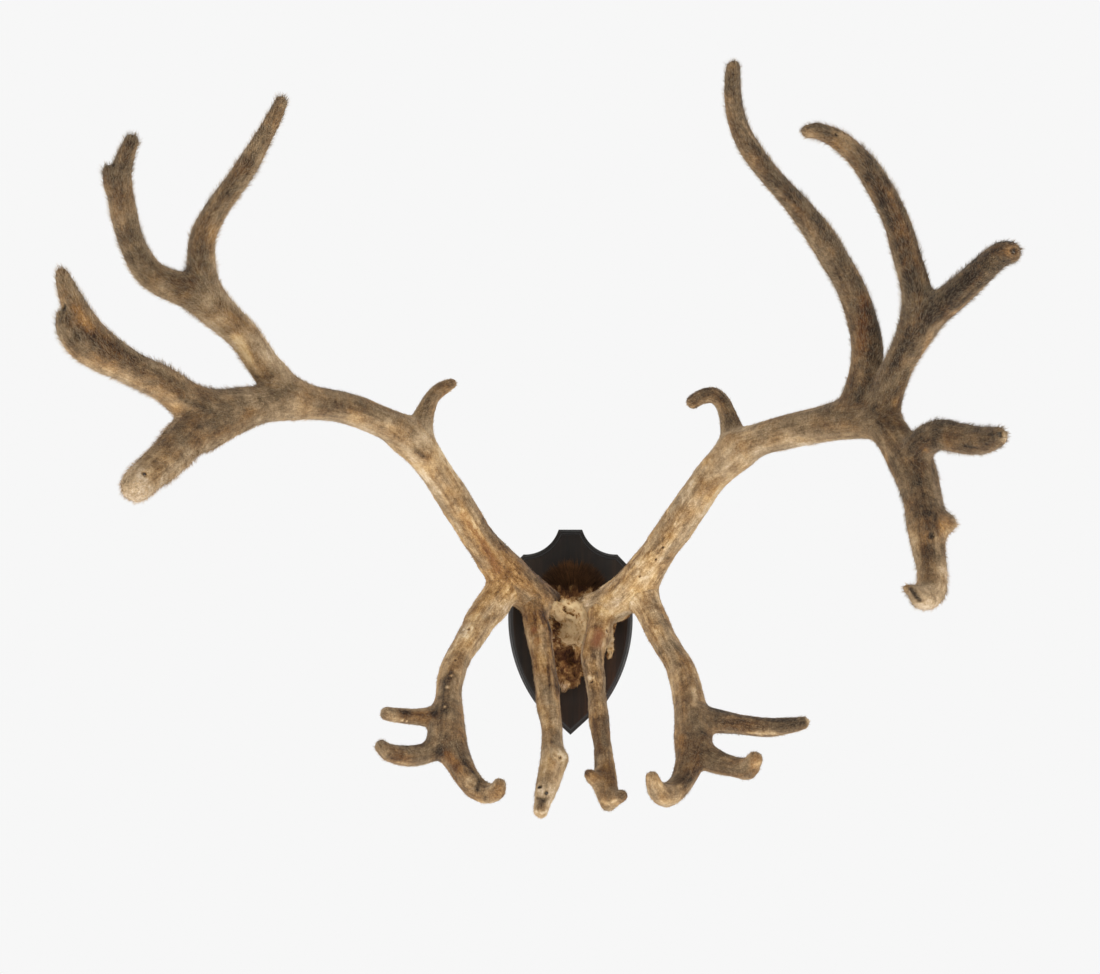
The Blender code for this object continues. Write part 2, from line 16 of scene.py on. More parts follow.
import bpy
import numpy as np
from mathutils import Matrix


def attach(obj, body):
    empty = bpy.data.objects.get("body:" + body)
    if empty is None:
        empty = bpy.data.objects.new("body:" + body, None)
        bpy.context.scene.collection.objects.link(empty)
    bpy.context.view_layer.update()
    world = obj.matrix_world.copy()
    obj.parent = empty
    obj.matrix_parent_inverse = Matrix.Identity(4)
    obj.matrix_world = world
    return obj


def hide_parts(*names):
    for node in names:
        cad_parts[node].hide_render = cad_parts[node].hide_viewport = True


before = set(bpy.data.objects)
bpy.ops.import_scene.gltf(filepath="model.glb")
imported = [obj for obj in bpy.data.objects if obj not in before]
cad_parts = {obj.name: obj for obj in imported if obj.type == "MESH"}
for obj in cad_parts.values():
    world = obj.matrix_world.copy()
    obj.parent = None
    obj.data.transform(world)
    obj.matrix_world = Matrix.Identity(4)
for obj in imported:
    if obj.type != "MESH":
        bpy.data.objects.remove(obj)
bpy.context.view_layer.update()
MM = 0.001

# %% [markdown]
# ## The camera
#
# The photograph was taken from straight in front with a long lens, a little above the shield. Its place was
# worked out from the shield's size and from where the picture's middle falls. It comes first, because the
# marks on the velvet are placed by the spots of the picture where they show.

# %% The camera at the photograph's place
def add_object(name, data):
    """A new object in the scene, at the origin."""
    made = bpy.data.objects.new(name, data)
    bpy.context.scene.collection.objects.link(made)
    return made


CAMERA_PLACE = np.array([-28.7, -3300.0, 204.0])
LENS_MM = 76.6
SENSOR_MM = 36.0
PICTURE_WIDTH = 1100
PICTURE_HEIGHT = 974
PIXELS_PER_UNIT = PICTURE_WIDTH * LENS_MM / SENSOR_MM

camera = add_object("camera", bpy.data.cameras.new("camera"))
camera.location = CAMERA_PLACE * MM
camera.rotation_euler = (math.pi / 2, 0, 0)
camera.data.lens = LENS_MM
camera.data.sensor_width = SENSOR_MM
bpy.context.scene.camera = camera


def sight_line(spot):
    """The direction from the camera through a spot of the picture: its distance from the picture's middle,
    right and up, over the lens's length in pixels."""
    right = (spot[0] - PICTURE_WIDTH / 2) / PIXELS_PER_UNIT
    up = (PICTURE_HEIGHT / 2 - spot[1]) / PIXELS_PER_UNIT
    line = np.array([right, 1.0, up])
    return line / np.linalg.norm(line)


print("pixels a millimetre in the shield's plane:", round(PIXELS_PER_UNIT / -CAMERA_PLACE[1], 3))

# %% [markdown]
# ## Paths, noise and meshes
#
# A limb is a path with a thickness, so three helpers carry the whole model: a smooth path through a few
# stations, a noise for everything that grew unevenly, and a function that turns arrays into a mesh. Working
# with whole arrays keeps this quick: the skin alone has more than a hundred thousand points.

# %% Helpers
# Large numbers that scatter the values at the corners of the noise's cells
CORNER_STEPS = np.array([73856093, 19349663, 83492791])
SEED_STEP = 40503
SCATTER = 1274126177
# Angles of the three rings that dome the end of a tube
DOME_ANGLES = np.radians([25, 50, 72])


def smooth_path(stations, step):
    """Points about a step apart on a Catmull-Rom curve: each stretch is a cubic that leaves and meets its
    stations in the direction of the line between their neighbours. Every column is carried along."""
    knots = np.array(stations, float)
    knots = np.vstack([2 * knots[0] - knots[1], knots, 2 * knots[-1] - knots[-2]])
    rows = []
    for a, b, c, d in zip(knots, knots[1:], knots[2:], knots[3:]):
        count = max(1, round(float(np.linalg.norm(c[:3] - b[:3])) / step))
        t = (np.arange(count) / count)[:, None]
        rows.append(b + 0.5 * ((c - a) * t + (2 * a - 5 * b + 4 * c - d) * t ** 2
                               + (3 * b - a - 3 * c + d) * t ** 3))
    return np.vstack([*rows, knots[-2]])


def unit(vectors):
    """Vectors of length 1 in the same directions."""
    return vectors / np.maximum(np.linalg.norm(vectors, axis=-1, keepdims=True), 1e-9)


def carried_frame(centres):
    """Tangent, side and up vectors of a path. The side vector is carried along without turning about it."""
    tangents = unit(np.gradient(centres, axis=0))
    side = np.cross(tangents[0], (0.1, 1.0, 0.2))
    sides = []
    for tangent in tangents:
        side = unit(side - tangent * side.dot(tangent))
        sides.append(side)
    sides = np.array(sides)
    return tangents, sides, np.cross(tangents, sides)


def soft_noise(places, seed):
    """Smooth noise from -1 to 1: scattered values at the corners of unit cells, mixed by an S-curve of how
    near each corner is."""
    cell = np.floor(places).astype(np.int64)
    part = places - cell
    ease = part * part * (3 - 2 * part)
    total = np.zeros(len(places))
    for corner in np.ndindex(2, 2, 2):
        number = (cell + corner) @ CORNER_STEPS + seed * SEED_STEP
        number = (number ^ (number >> 13)) * SCATTER
        value = ((number ^ (number >> 16)) & 0xFFFF) / 0xFFFF
        total += value * np.prod(np.where(corner, ease, 1 - ease), axis=1)
    return 2 * total - 1


def rough_noise(places, seed, layers=3):
    """Soft noise with finer and fainter copies of itself added on top, brought back to about -1 to 1."""
    return sum(soft_noise(places * 2 ** i, seed + i) / 2 ** i for i in range(layers)) / 1.6


def smooth_step(values, low, high):
    """0 below low, 1 above high, and an S-curve between."""
    t = np.clip((values - low) / (high - low), 0, 1)
    return t * t * (3 - 2 * t)


def set_values(mesh, name, values):
    """Keeps a number or a vector with each vertex, for the material to read."""
    values = np.asarray(values, np.float32)
    if values.ndim == 1:
        mesh.attributes.new(name, "FLOAT", "POINT").data.foreach_set("value", values)
    else:
        mesh.attributes.new(name, "FLOAT_VECTOR", "POINT").data.foreach_set("vector", values.ravel())


def fill_mesh(name, places, faces):
    """A mesh from places in mm and faces that all have the same number of corners."""
    mesh = bpy.data.meshes.new(name)
    faces = np.asarray(faces, np.int32)
    mesh.vertices.add(len(places))
    mesh.vertices.foreach_set("co", (np.asarray(places) * MM).astype(np.float32).ravel())
    mesh.loops.add(faces.size)
    mesh.loops.foreach_set("vertex_index", faces.ravel())
    mesh.polygons.add(len(faces))
    mesh.polygons.foreach_set("loop_start", np.arange(len(faces), dtype=np.int32) * faces.shape[1])
    mesh.update(calc_edges=True)
    return mesh


def place_piece(name, mesh, material, replaced=(), smooth=True):
    """Puts a finished mesh in the scene as a piece that rides on the mount, with the finish that it is given.
    """
    piece = add_object(name, mesh)
    mesh.materials.append(material)
    mesh.polygons.foreach_set("use_smooth", np.full(len(mesh.polygons), smooth))
    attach(piece, "root")
    if replaced:
        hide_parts(*replaced)


def tube_faces(rings, sides):
    """Triangles of a tube whose ring points come ring by ring, and whose two end points come last."""
    around = np.arange(sides)
    a = (np.arange(rings - 1)[:, None] * sides + around).ravel()
    b = (np.arange(rings - 1)[:, None] * sides + (around + 1) % sides).ravel()
    walls = np.vstack([np.column_stack([a, b, b + sides]), np.column_stack([a, b + sides, a + sides])])
    last = (rings - 1) * sides
    foot = np.column_stack([np.full(sides, rings * sides), (around + 1) % sides, around])
    head = np.column_stack([np.full(sides, rings * sides + 1), last + around, last + (around + 1) % sides])
    return np.vstack([walls, foot, head])


def tube_surface(centres, radii, sides, flatness=1.0):
    """A tube with domed ends. A point is centre + radius * (side cos a + up sin a), with Y pressed by
    flatness. In a dome the centre moves on by radius * sin b, and the radius shrinks by cos b."""
    tangents, side, up = carried_frame(centres)
    ends = [centres[0] - tangents[0] * radii[0], centres[-1] + tangents[-1] * radii[-1]]
    foot = centres[0] - tangents[0] * radii[0] * np.sin(DOME_ANGLES)[::-1, None]
    head = centres[-1] + tangents[-1] * radii[-1] * np.sin(DOME_ANGLES)[:, None]
    dome = np.cos(DOME_ANGLES)
    radii = np.concatenate([radii[0] * dome[::-1], radii, radii[-1] * dome])
    side, up = (np.vstack([way[[0] * 3], way, way[[-1] * 3]]) for way in (side, up))
    centres = np.vstack([foot, centres, head])
    turn = np.linspace(0, 2 * math.pi, sides, endpoint=False)[None, :, None]
    offset = radii[:, None, None] * (side[:, None] * np.cos(turn) + up[:, None] * np.sin(turn))
    offset[..., 1] *= flatness
    places = (centres[:, None] + offset).reshape(-1, 3)
    return np.vstack([places, ends]), tube_faces(len(centres), sides)


print("helpers ready")

# %% [markdown]
# ## Materials
#
# Every finish could be a picture wrapped round its piece, but then it would have seams and blur close up.
# Here it is mixed from nodes, which read the place on the piece. A short helper adds a node and wires it up.
# Colours are written as the eye reads them on a screen, from 0 to 255, and turned into the linear values that
# the shader wants.

# %% Node helpers
def seen(red, green, blue):
    """A colour as seen on a screen, in linear light: about the power 2.2 of its share of 255."""
    share = np.array([red, green, blue]) / 255
    return (*np.where(share <= 0.04045, share / 12.92, ((share + 0.055) / 1.055) ** 2.4), 1.0)


def add_node(tree, kind, inputs=None, **settings):
    """A shader node with its settings, and its inputs set to values or wired to other nodes' outputs."""
    made = tree.nodes.new("ShaderNode" + kind)
    for name, value in settings.items():
        setattr(made, name, value)
    for name, value in (inputs or {}).items():
        if isinstance(value, bpy.types.NodeSocket):
            tree.links.new(value, made.inputs[name])
        else:
            made.inputs[name].default_value = value
    return made


def new_finish(name, roughness, **fixed):
    """An empty Principled material: its node tree and its shader, with the constant values set."""
    material = bpy.data.materials.new(name)
    material.use_nodes = True
    shader = material.node_tree.nodes["Principled BSDF"]
    shader.inputs["Roughness"].default_value = roughness
    for socket, value in fixed.items():
        shader.inputs[socket.replace("_", " ")].default_value = value
    return material, material.node_tree, shader


def stored(tree, name, output="Fac"):
    """A value that the mesh keeps with each vertex."""
    return add_node(tree, "Attribute", attribute_name=name).outputs[output]


def object_place(tree):
    """The place on the piece, in metres."""
    return add_node(tree, "TexCoord").outputs["Object"]


def mapped(tree, value, old=(0.0, 1.0), new=(0.0, 1.0)):
    """The value carried from one range to another and held at its ends."""
    ends = {"From Min": old[0], "From Max": old[1], "To Min": new[0], "To Max": new[1]}
    return add_node(tree, "MapRange", {"Value": value, **ends}).outputs["Result"]


def product(tree, first, second):
    """One value times another."""
    return add_node(tree, "Math", {0: first, 1: second}, operation="MULTIPLY").outputs[0]


def stretched(tree, source, scale):
    """The source's coordinates, stretched along each axis."""
    return add_node(tree, "Mapping", {"Vector": source, "Scale": scale}).outputs["Vector"]


def noise(tree, source, scale, detail=3.0, roughness=0.5):
    """A noise pattern from 0 to 1 on those coordinates."""
    return add_node(tree, "TexNoise", {"Vector": source, "Scale": scale, "Detail": detail,
                                       "Roughness": roughness}).outputs["Fac"]


def sum_of(tree, first, *terms):
    """first + (pattern - 0.5) * amount for each further pattern, so that it shifts the value both ways."""
    total = first
    for pattern, amount in terms:
        shift = add_node(tree, "Math", {0: pattern, 1: amount, 2: -0.5 * amount}, operation="MULTIPLY_ADD")
        total = add_node(tree, "Math", {0: total, 1: shift.outputs[0]}).outputs[0]
    return total


def ramp(tree, value, stops):
    """Colours in between a few stops, each a place from 0 to 1 and a colour as seen."""
    made = add_node(tree, "ValToRGB", {"Fac": value})
    points = made.color_ramp.elements
    while len(points) < len(stops):
        points.new(0.5)
    for point, (place, colour) in zip(points, stops):
        point.position = place
        point.color = seen(*colour)
    return made.outputs["Color"]


def mixed(tree, share, first, second):
    """Two colours mixed by a share from 0 to 1."""
    made = add_node(tree, "Mix", data_type="RGBA", clamp_factor=True)
    for number, value in ((0, share), (6, first), (7, second)):
        if isinstance(value, bpy.types.NodeSocket):
            tree.links.new(value, made.inputs[number])
        else:
            made.inputs[number].default_value = value
    return made.outputs[2]


def paint(tree, shader, colour):
    """Gives the shader its colour."""
    tree.links.new(colour, shader.inputs["Base Color"])


def bump(tree, shader, height, strength, depth_mm):
    """Makes the light follow a small relief."""
    made = add_node(tree, "Bump", {"Height": height, "Strength": strength, "Distance": depth_mm * MM})
    tree.links.new(made.outputs["Normal"], shader.inputs["Normal"])


print("node helpers ready")

# %% [markdown]
# ## The velvet's colour
#
# Velvet isn't one colour. Near the skull it is worn to a pale tan with golden and ochre stains, and in places
# down to the red-brown skin. Further out it is a darker, greyer brown. Noise alone would put the stains just
# anywhere, so each vertex keeps a few numbers of its own: tone, from cream to nearly black, gold, from grey
# to golden, bare, where the hair is gone, worn, where it is frayed, and grain, the place along and round the
# limb. The hairs take the numbers of the skin under them, so the two always agree. The nodes only add what is
# finer than the mesh: mottling in three sizes, streaks along the limb, and frayed spots where it is worn.

# %% Velvet skin and velvet hair
GREY_VELVET = [(0.0, (228, 208, 180)), (0.25, (194, 167, 131)), (0.5, (149, 124, 92)),
               (0.75, (102, 82, 59)), (1.0, (48, 37, 27))]
GOLDEN_VELVET = [(0.0, (236, 210, 162)), (0.25, (202, 162, 106)), (0.5, (152, 111, 64)),
                 (0.75, (102, 68, 38)), (1.0, (44, 28, 16))]
BARE_SKIN = seen(138, 80, 54)
PALE_HAIR = seen(222, 202, 170)


def velvet_marks(values):
    """The numbers that the velvet's colour is mixed from, with the grain in metres."""
    return {"grain": values["grain"] * MM, **{key: values[key] for key in ("tone", "gold", "bare", "worn")}}


def velvet_colour(tree, on_skin):
    """The tone from the mesh is shifted by mottling of about 18, 5 and 1.5 mm and by streaks along the limb,
    and frayed where the velvet is worn. Gold then mixes the grey and the golden colour of that tone, and bare
    mixes in the colour of the skin."""
    place = object_place(tree)
    grain = stored(tree, "grain", "Vector")
    terms = [(noise(tree, place, 55, 3, 0.6), 0.7), (noise(tree, place, 190, 4, 0.65), 0.55),
             (noise(tree, place, 650, 3, 0.6), 0.65),
             (noise(tree, stretched(tree, grain, (16, 120, 120)), 1.0, 4, 0.6), 0.45)]
    if on_skin:
        terms.append((noise(tree, stretched(tree, grain, (14, 260, 260)), 1.0, 4, 0.6), 0.4))
    else:
        terms.append((stored(tree, "strand"), 0.45))
    tone = sum_of(tree, stored(tree, "tone"), *terms)
    frayed = noise(tree, stretched(tree, grain, (75, 210, 210)), 1.0, 6, 0.75)
    frayed = mapped(tree, frayed, (0.3, 0.7), (0.36, -0.36))
    tone = add_node(tree, "Math", {0: frayed, 1: stored(tree, "worn"), 2: tone}, operation="MULTIPLY_ADD")
    tone = tone.outputs[0]
    gold = sum_of(tree, stored(tree, "gold"), (noise(tree, place, 34, 4, 0.6), 1.9))
    colour = mixed(tree, gold, ramp(tree, tone, GREY_VELVET), ramp(tree, tone, GOLDEN_VELVET))
    return mixed(tree, stored(tree, "bare"), colour, BARE_SKIN)


def make_velvet_skin():
    """The matted hair that lies on the skin: the velvet's colour over fibres along the limb and small grains,
    with a little of the sheen of cloth."""
    material, tree, shader = new_finish("velvet_skin", 0.9, Sheen_Weight=0.12, Sheen_Roughness=0.5,
                                        Specular_IOR_Level=0.2)
    place = object_place(tree)
    paint(tree, shader, velvet_colour(tree, True))
    along = stretched(tree, stored(tree, "grain", "Vector"), (30, 420, 420))
    relief = sum_of(tree, noise(tree, along, 1.0, 3), (noise(tree, place, 480, 4, 0.6), 1.6))
    bump(tree, shader, relief, 0.9, 1.2)
    return material


def make_hair_finish(name, tip_paling):
    """The velvet's colour, made paler by up to that share towards the tip of each hair."""
    material, tree, shader = new_finish(name, 0.75, Specular_IOR_Level=0.2)
    colour = velvet_colour(tree, False)
    if tip_paling:
        colour = mixed(tree, product(tree, stored(tree, "reach"), tip_paling), colour, PALE_HAIR)
    paint(tree, shader, colour)
    return material


velvet_skin = make_velvet_skin()
velvet_hair = make_hair_finish("velvet_hair", 0.5)
hide_hair = make_hair_finish("hide_hair", 0)
print("finishes:", velvet_skin.name, velvet_hair.name, hide_hair.name)

# %% [markdown]
# ## The skeleton of the antlers
#
# Each limb of the real antler is a round stem that grew out of an older one. The stations are the same that
# the construction uses: place across, stand-off from the wall, height and radius, from root to tip. Beside
# them stands how dark the velvet is at the limb's root and at its tip, from 0, cream, to 1, nearly black.

# %% Limbs of both antlers
LEFT_ANTLER = {
    "left_lower_beam": [(-31, 80, 44, 20.5), (-59, 92, 60, 26), (-86, 108, 85, 27.5), (-117, 130, 124, 22.5),
                        (-138, 145, 155, 21), (-168, 163, 205, 21.5), (-195, 182, 245, 22.5),
                        (-220, 194, 272, 22.5)],
    "left_upper_beam": [(-212, 190, 264, 17.5), (-225, 197, 276, 22), (-247, 208, 289, 21),
                        (-293, 232, 306, 21), (-332, 255, 313, 22.5), (-367, 277, 318, 26)],
    "left_rear_tine": [(-202, 186, 267, 16), (-197, 181, 299, 13.5), (-186, 176, 324, 11.5),
                       (-174, 172, 335, 10.5), (-161, 168, 342, 7.5)],
    "left_crown_stem": [(-364, 277, 322, 18), (-380, 280, 339, 22), (-398, 285, 362, 21.5),
                        (-423, 292, 398, 22), (-452, 300, 426, 23.5), (-474, 307, 447, 24.5)],
    "left_crown_outer_tine": [(-464, 304, 443, 16.5), (-486, 310, 454, 21.5), (-507, 315, 459, 21),
                              (-538, 322, 476, 20), (-558, 330, 511, 18.5), (-569, 338, 552, 17.5),
                              (-569, 346, 591, 15), (-564, 352, 618, 14), (-555, 358, 638, 12)],
    "left_crown_inner_tine": [(-466, 304, 443, 18), (-475, 303, 487, 20), (-473, 302, 525, 18.5),
                              (-452, 304, 564, 17), (-421, 310, 606, 16.5), (-393, 320, 648, 13),
                              (-377, 328, 678, 11.5), (-370, 332, 692, 10)],
    "left_palm_stem": [(-355, 271, 317, 20.5), (-377, 284, 316, 26), (-398, 300, 310, 25.5),
                       (-426, 322, 302, 29.5), (-453, 342, 294, 33)],
    "left_palm_upper_tine": [(-444, 338, 295, 21.5), (-465, 350, 304, 25), (-486, 365, 314, 25),
                             (-516, 385, 336, 23), (-547, 400, 351, 22.5), (-577, 410, 371, 23.5),
                             (-599, 418, 397, 21), (-614, 426, 429, 16), (-623, 432, 454, 12.5),
                             (-626, 434, 465, 9)],
    "left_palm_lower_tine": [(-446, 338, 289, 23), (-464, 354, 276, 27.5), (-483, 380, 265, 27.5),
                             (-500, 420, 238, 25), (-518, 452, 219, 23), (-528, 472, 206, 21.5)],
    "left_brow_tine": [(-52, 96, 52, 16.5), (-45, 120, 10, 17.5), (-38, 155, -35, 16), (-30, 195, -85, 15.5),
                       (-26, 230, -128, 14), (-26, 260, -161, 17), (-33, 282, -184, 15.5),
                       (-38, 298, -200, 11.5), (-40, 308, -210, 10)],
    "left_bez_stem": [(-83, 106, 80, 20.5), (-109, 130, 42, 22.5), (-134, 165, 6, 19.5),
                      (-156, 203, -35, 18.5), (-162, 240, -80, 19.5), (-162, 268, -121, 22.5)],
    "left_bez_upper_prong": [(-159, 250, -94, 13), (-193, 256, -95, 12.5), (-221, 264, -93, 11.5),
                             (-240, 268, -90, 10)],
    "left_bez_lower_prong": [(-163, 268, -120, 15.5), (-187, 284, -139, 14), (-213, 296, -142, 14),
                             (-235, 306, -136, 11.5), (-244, 312, -128, 9)],
    "left_bez_front_prong": [(-161, 262, -114, 17), (-154, 276, -136, 18.5), (-143, 288, -156, 16.5),
                             (-129, 304, -176, 14), (-111, 318, -186, 13), (-97, 330, -182, 12),
                             (-93, 336, -173, 8.5)],
}
RIGHT_ANTLER = {
    "right_lower_beam": [(29, 80, 38, 20.5), (54, 92, 45, 24.5), (83, 108, 66, 27.5), (113, 130, 108, 23.5),
                         (138, 147, 146, 23), (164, 163, 185, 23), (189, 180, 221, 23.5),
                         (219, 197, 252, 24)],
    "right_upper_beam": [(210, 192, 245, 18.5), (227, 200, 257, 22.5), (246, 210, 266, 22),
                         (281, 228, 276, 23), (318, 246, 284, 24), (354, 262, 291, 26), (392, 280, 294, 27)],
    "right_rear_tine": [(220, 190, 253, 16), (210, 182, 292, 13.5), (202, 177, 315, 12.5),
                        (189, 173, 327, 12), (173, 170, 324, 10.5), (163, 168, 318, 9.5)],
    "right_crown_inner_tine": [(360, 264, 293, 19.5), (375, 274, 337, 21.5), (380, 282, 381, 21.5),
                               (371, 288, 425, 20.5), (351, 296, 472, 20), (321, 304, 519, 20),
                               (289, 312, 561, 17), (251, 322, 601, 16), (221, 332, 641, 15),
                               (205, 342, 680, 13.5), (201, 350, 711, 12), (202, 355, 731, 10.5)],
    "right_crown_stem": [(396, 286, 294, 20.5), (407, 300, 331, 21), (417, 312, 362, 21),
                         (431, 324, 391, 23), (442, 333, 418, 24)],
    "right_crown_middle_tine": [(441, 330, 408, 18), (439, 332, 433, 21.5), (435, 331, 456, 20.5),
                                (425, 328, 495, 20), (412, 328, 539, 19.5), (390, 330, 583, 18.5),
                                (365, 334, 620, 16), (334, 340, 644, 14), (307, 344, 654, 11.5),
                                (297, 346, 653, 10)],
    "right_crown_outer_tine": [(441, 330, 413, 19), (469, 352, 436, 21.5), (491, 378, 456, 20),
                               (511, 402, 476, 18.5), (527, 424, 490, 17), (535, 432, 491, 15.5)],
    "right_palm_stem": [(396, 284, 293, 22), (418, 312, 256, 25.5), (432, 334, 227, 28),
                        (439, 356, 191, 25.5), (441, 374, 163, 23.5)],
    "right_palm_side_tine": [(431, 330, 233, 16.5), (440, 348, 258, 20), (460, 366, 269, 21),
                             (484, 392, 264, 20), (504, 416, 262, 18.5), (518, 436, 265, 14)],
    "right_palm_lower_tine": [(441, 368, 173, 17.5), (442, 380, 148, 22.5), (442, 390, 123, 21),
                              (444, 402, 99, 20), (440, 418, 76, 20.5), (428, 434, 69, 16),
                              (415, 446, 76, 10), (407, 452, 80, 7)],
    "right_brow_tine": [(45, 96, 38, 16.5), (35, 122, 2, 17), (29, 150, -31, 15), (33, 180, -69, 14.5),
                        (37, 210, -106, 14.5), (42, 240, -142, 13), (44, 266, -173, 13.5),
                        (45, 284, -193, 12), (46, 292, -202, 10.5)],
    "right_bez_stem": [(89, 108, 72, 20.5), (111, 134, 27, 20.5), (129, 162, -9, 18.5),
                       (147, 190, -42, 19.5), (155, 222, -79, 21), (157, 254, -119, 22)],
    "right_bez_long_prong": [(155, 236, -93, 14.5), (185, 248, -100, 15.5), (218, 258, -104, 13.5),
                             (253, 270, -107, 13), (281, 280, -104, 11.5), (297, 286, -100, 9.5)],
    "right_bez_lower_prong": [(156, 260, -130, 15.5), (183, 282, -149, 16.5), (207, 298, -154, 14.5),
                              (224, 312, -155, 14), (232, 322, -142, 10.5)],
    "right_bez_front_prong": [(158, 250, -111, 17), (155, 266, -134, 20), (149, 280, -156, 18),
                              (139, 298, -177, 16), (120, 318, -188, 16), (106, 334, -179, 12.5),
                              (101, 342, -165, 9.5)],
}
# Knobs and short second points: the limb that carries each, and its own stations
SPURS = [
    ("left_crown_outer_tine", [(-566, 340, 556, 10), (-582, 350, 582, 9.5), (-585, 358, 602, 7.5)]),
    ("left_palm_upper_tine", [(-580, 410, 362, 17), (-608, 422, 376, 16), (-622, 432, 398, 13),
                              (-626, 440, 414, 7.5)]),
    ("left_brow_tine", [(-27, 240, -138, 10.5), (-16, 262, -148, 11.5)]),
    ("left_bez_front_prong", [(-149, 284, -146, 11), (-137, 304, -161, 11.5), (-128, 316, -171, 9.5)]),
    ("right_palm_lower_tine", [(444, 374, 160, 15), (465, 380, 159, 13.5)]),
    ("right_brow_tine", [(43, 270, -178, 10.5), (31, 282, -174, 9.5), (23, 292, -166, 7.5)]),
    ("right_brow_tine", [(45, 284, -193, 10), (56, 296, -194, 9.5), (63, 304, -191, 7.5)]),
]
FLAT_LIMBS = {"left_palm_stem": 0.8, "right_palm_stem": 0.8}
LIMB_TONES = {
    "left_lower_beam": (0.68, 0.3), "left_upper_beam": (0.44, 0.56), "left_rear_tine": (0.44, 0.62),
    "left_crown_stem": (0.36, 0.46), "left_crown_outer_tine": (0.55, 0.72),
    "left_crown_inner_tine": (0.64, 0.68), "left_palm_stem": (0.52, 0.56),
    "left_palm_upper_tine": (0.55, 0.68), "left_palm_lower_tine": (0.62, 0.36),
    "left_brow_tine": (0.5, 0.34), "left_bez_stem": (0.34, 0.5), "left_bez_upper_prong": (0.42, 0.5),
    "left_bez_lower_prong": (0.68, 0.62), "left_bez_front_prong": (0.74, 0.52),
    "right_lower_beam": (0.3, 0.4), "right_upper_beam": (0.36, 0.66), "right_rear_tine": (0.5, 0.75),
    "right_crown_inner_tine": (0.75, 0.72), "right_crown_stem": (0.75, 0.75),
    "right_crown_middle_tine": (0.78, 0.68), "right_crown_outer_tine": (0.92, 0.86),
    "right_palm_stem": (0.7, 0.6), "right_palm_side_tine": (0.8, 0.76),
    "right_palm_lower_tine": (0.54, 0.5), "right_brow_tine": (0.38, 0.6), "right_bez_stem": (0.36, 0.54),
    "right_bez_long_prong": (0.6, 0.65), "right_bez_lower_prong": (0.66, 0.62),
    "right_bez_front_prong": (0.72, 0.56),
}
SPINE_STEP = 7.0
# Each limb reads the noise elsewhere: this many mm further on, and spurs after all limbs
GRAIN_SHIFT = 97.0
FIRST_SPUR = 40


def make_limb(name, stations, number):
    """A limb's centre line, radii, distance along it, and the directions along and across it."""
    rows = smooth_path(stations, SPINE_STEP)
    centres = rows[:, :3] * (1, -1, 1)
    tangents, sides, ups = carried_frame(centres)
    lengths = np.linalg.norm(np.diff(centres, axis=0), axis=1)
    return {"name": name, "centres": centres, "radii": rows[:, 3], "tangents": tangents, "sides": sides,
            "ups": ups, "along": np.concatenate([[0], np.cumsum(lengths)]), "shift": GRAIN_SHIFT * number,
            "flatness": FLAT_LIMBS.get(name, 1.0), "tones": LIMB_TONES[name]}


def make_limbs(antler):
    """All limbs of one antler with their spurs."""
    limbs = [make_limb(name, stations, number) for number, (name, stations) in enumerate(antler.items())]
    spurs = [(name, stations) for name, stations in SPURS if name in antler]
    return limbs + [make_limb(name, stations, FIRST_SPUR + n) for n, (name, stations) in enumerate(spurs)]


left_limbs = make_limbs(LEFT_ANTLER)
right_limbs = make_limbs(RIGHT_ANTLER)
print("metres of limb:", [round(sum(limb["along"][-1] for limb in side) * MM, 2)
                          for side in (left_limbs, right_limbs)])

# %% [markdown]
# ## One skin over all limbs
#
# In life the velvet runs over every fork without a seam. Tubes that only pass through each other would show
# a sharp line at each fork. So the tubes are merged on a fine grid below, and every point of the merged skin
# is then moved onto a smooth field: the distance to all limbs at once, blended so that a fork gets a rounded
# web. The same field gives each point its direction along the limb, its tone and its relief.

# %% The field round the limbs
FORK_FILLET = 6.0
FIELD_REACH = 30.0
SKULL_PLACE = np.array([0.0, -90.0, 45.0])
# Hair lengths, and how far from the skull the velvet is worn and where its hair grows longer
NAP_AT_SKULL = 2.6
NAP_AT_TIPS = 6.4
WORN_WITHIN = (60, 420)
NAP_GROWS = (260, 700)
# The skin lies below the solid's surface by this share of the hair's length
NAP_SUNK = 0.35


def beside_route(places, route):
    """For each place and each stretch of a route: how far along the stretch its nearest point lies, from 0 to
    1, and the way from there to the place."""
    run = np.diff(route, axis=0)
    offset = places[:, None] - route[:-1]
    share = np.clip((offset * run).sum(axis=2) / np.maximum((run * run).sum(axis=1), 1e-9), 0, 1)
    return share, offset - share[..., None] * run


def beside_limb(places, limb):
    """Where each place lies beside a limb. Its distance to the skin is the shortest of the distances to the
    centre line's stretches less the radius there."""
    share, offset = beside_route(places, limb["centres"])
    offset[..., 1] /= limb["flatness"]
    radius = limb["radii"][:-1] + share * np.diff(limb["radii"])
    gaps = np.linalg.norm(offset, axis=2) - radius
    nearest = gaps.argmin(axis=1)
    row = np.arange(len(places))
    share = share[row, nearest][:, None]

    def at(values):
        """The value at that nearest point, between those at the ends of its stretch."""
        return values[nearest] * (1 - share) + values[nearest + 1] * share

    outward = unit(offset[row, nearest])
    return {"gap": gaps[row, nearest], "outward": outward, "radius": radius[row, nearest],
            "way": unit(at(limb["tangents"])), "along": at(limb["along"][:, None])[:, 0],
            "side": (outward * at(limb["sides"])).sum(axis=1), "up": (outward * at(limb["ups"])).sum(axis=1)}


def near_skull(places):
    """1 round the skull and 0 from half way up the beams."""
    return 1 - smooth_step(np.linalg.norm(places - SKULL_PLACE, axis=1), *WORN_WITHIN)


def nap_length(places):
    """Length of the velvet's hair in mm: short and worn near the skull, long towards the palms and tips."""
    far = smooth_step(np.linalg.norm(places - SKULL_PLACE, axis=1), *NAP_GROWS)
    return NAP_AT_SKULL + (NAP_AT_TIPS - NAP_AT_SKULL) * far


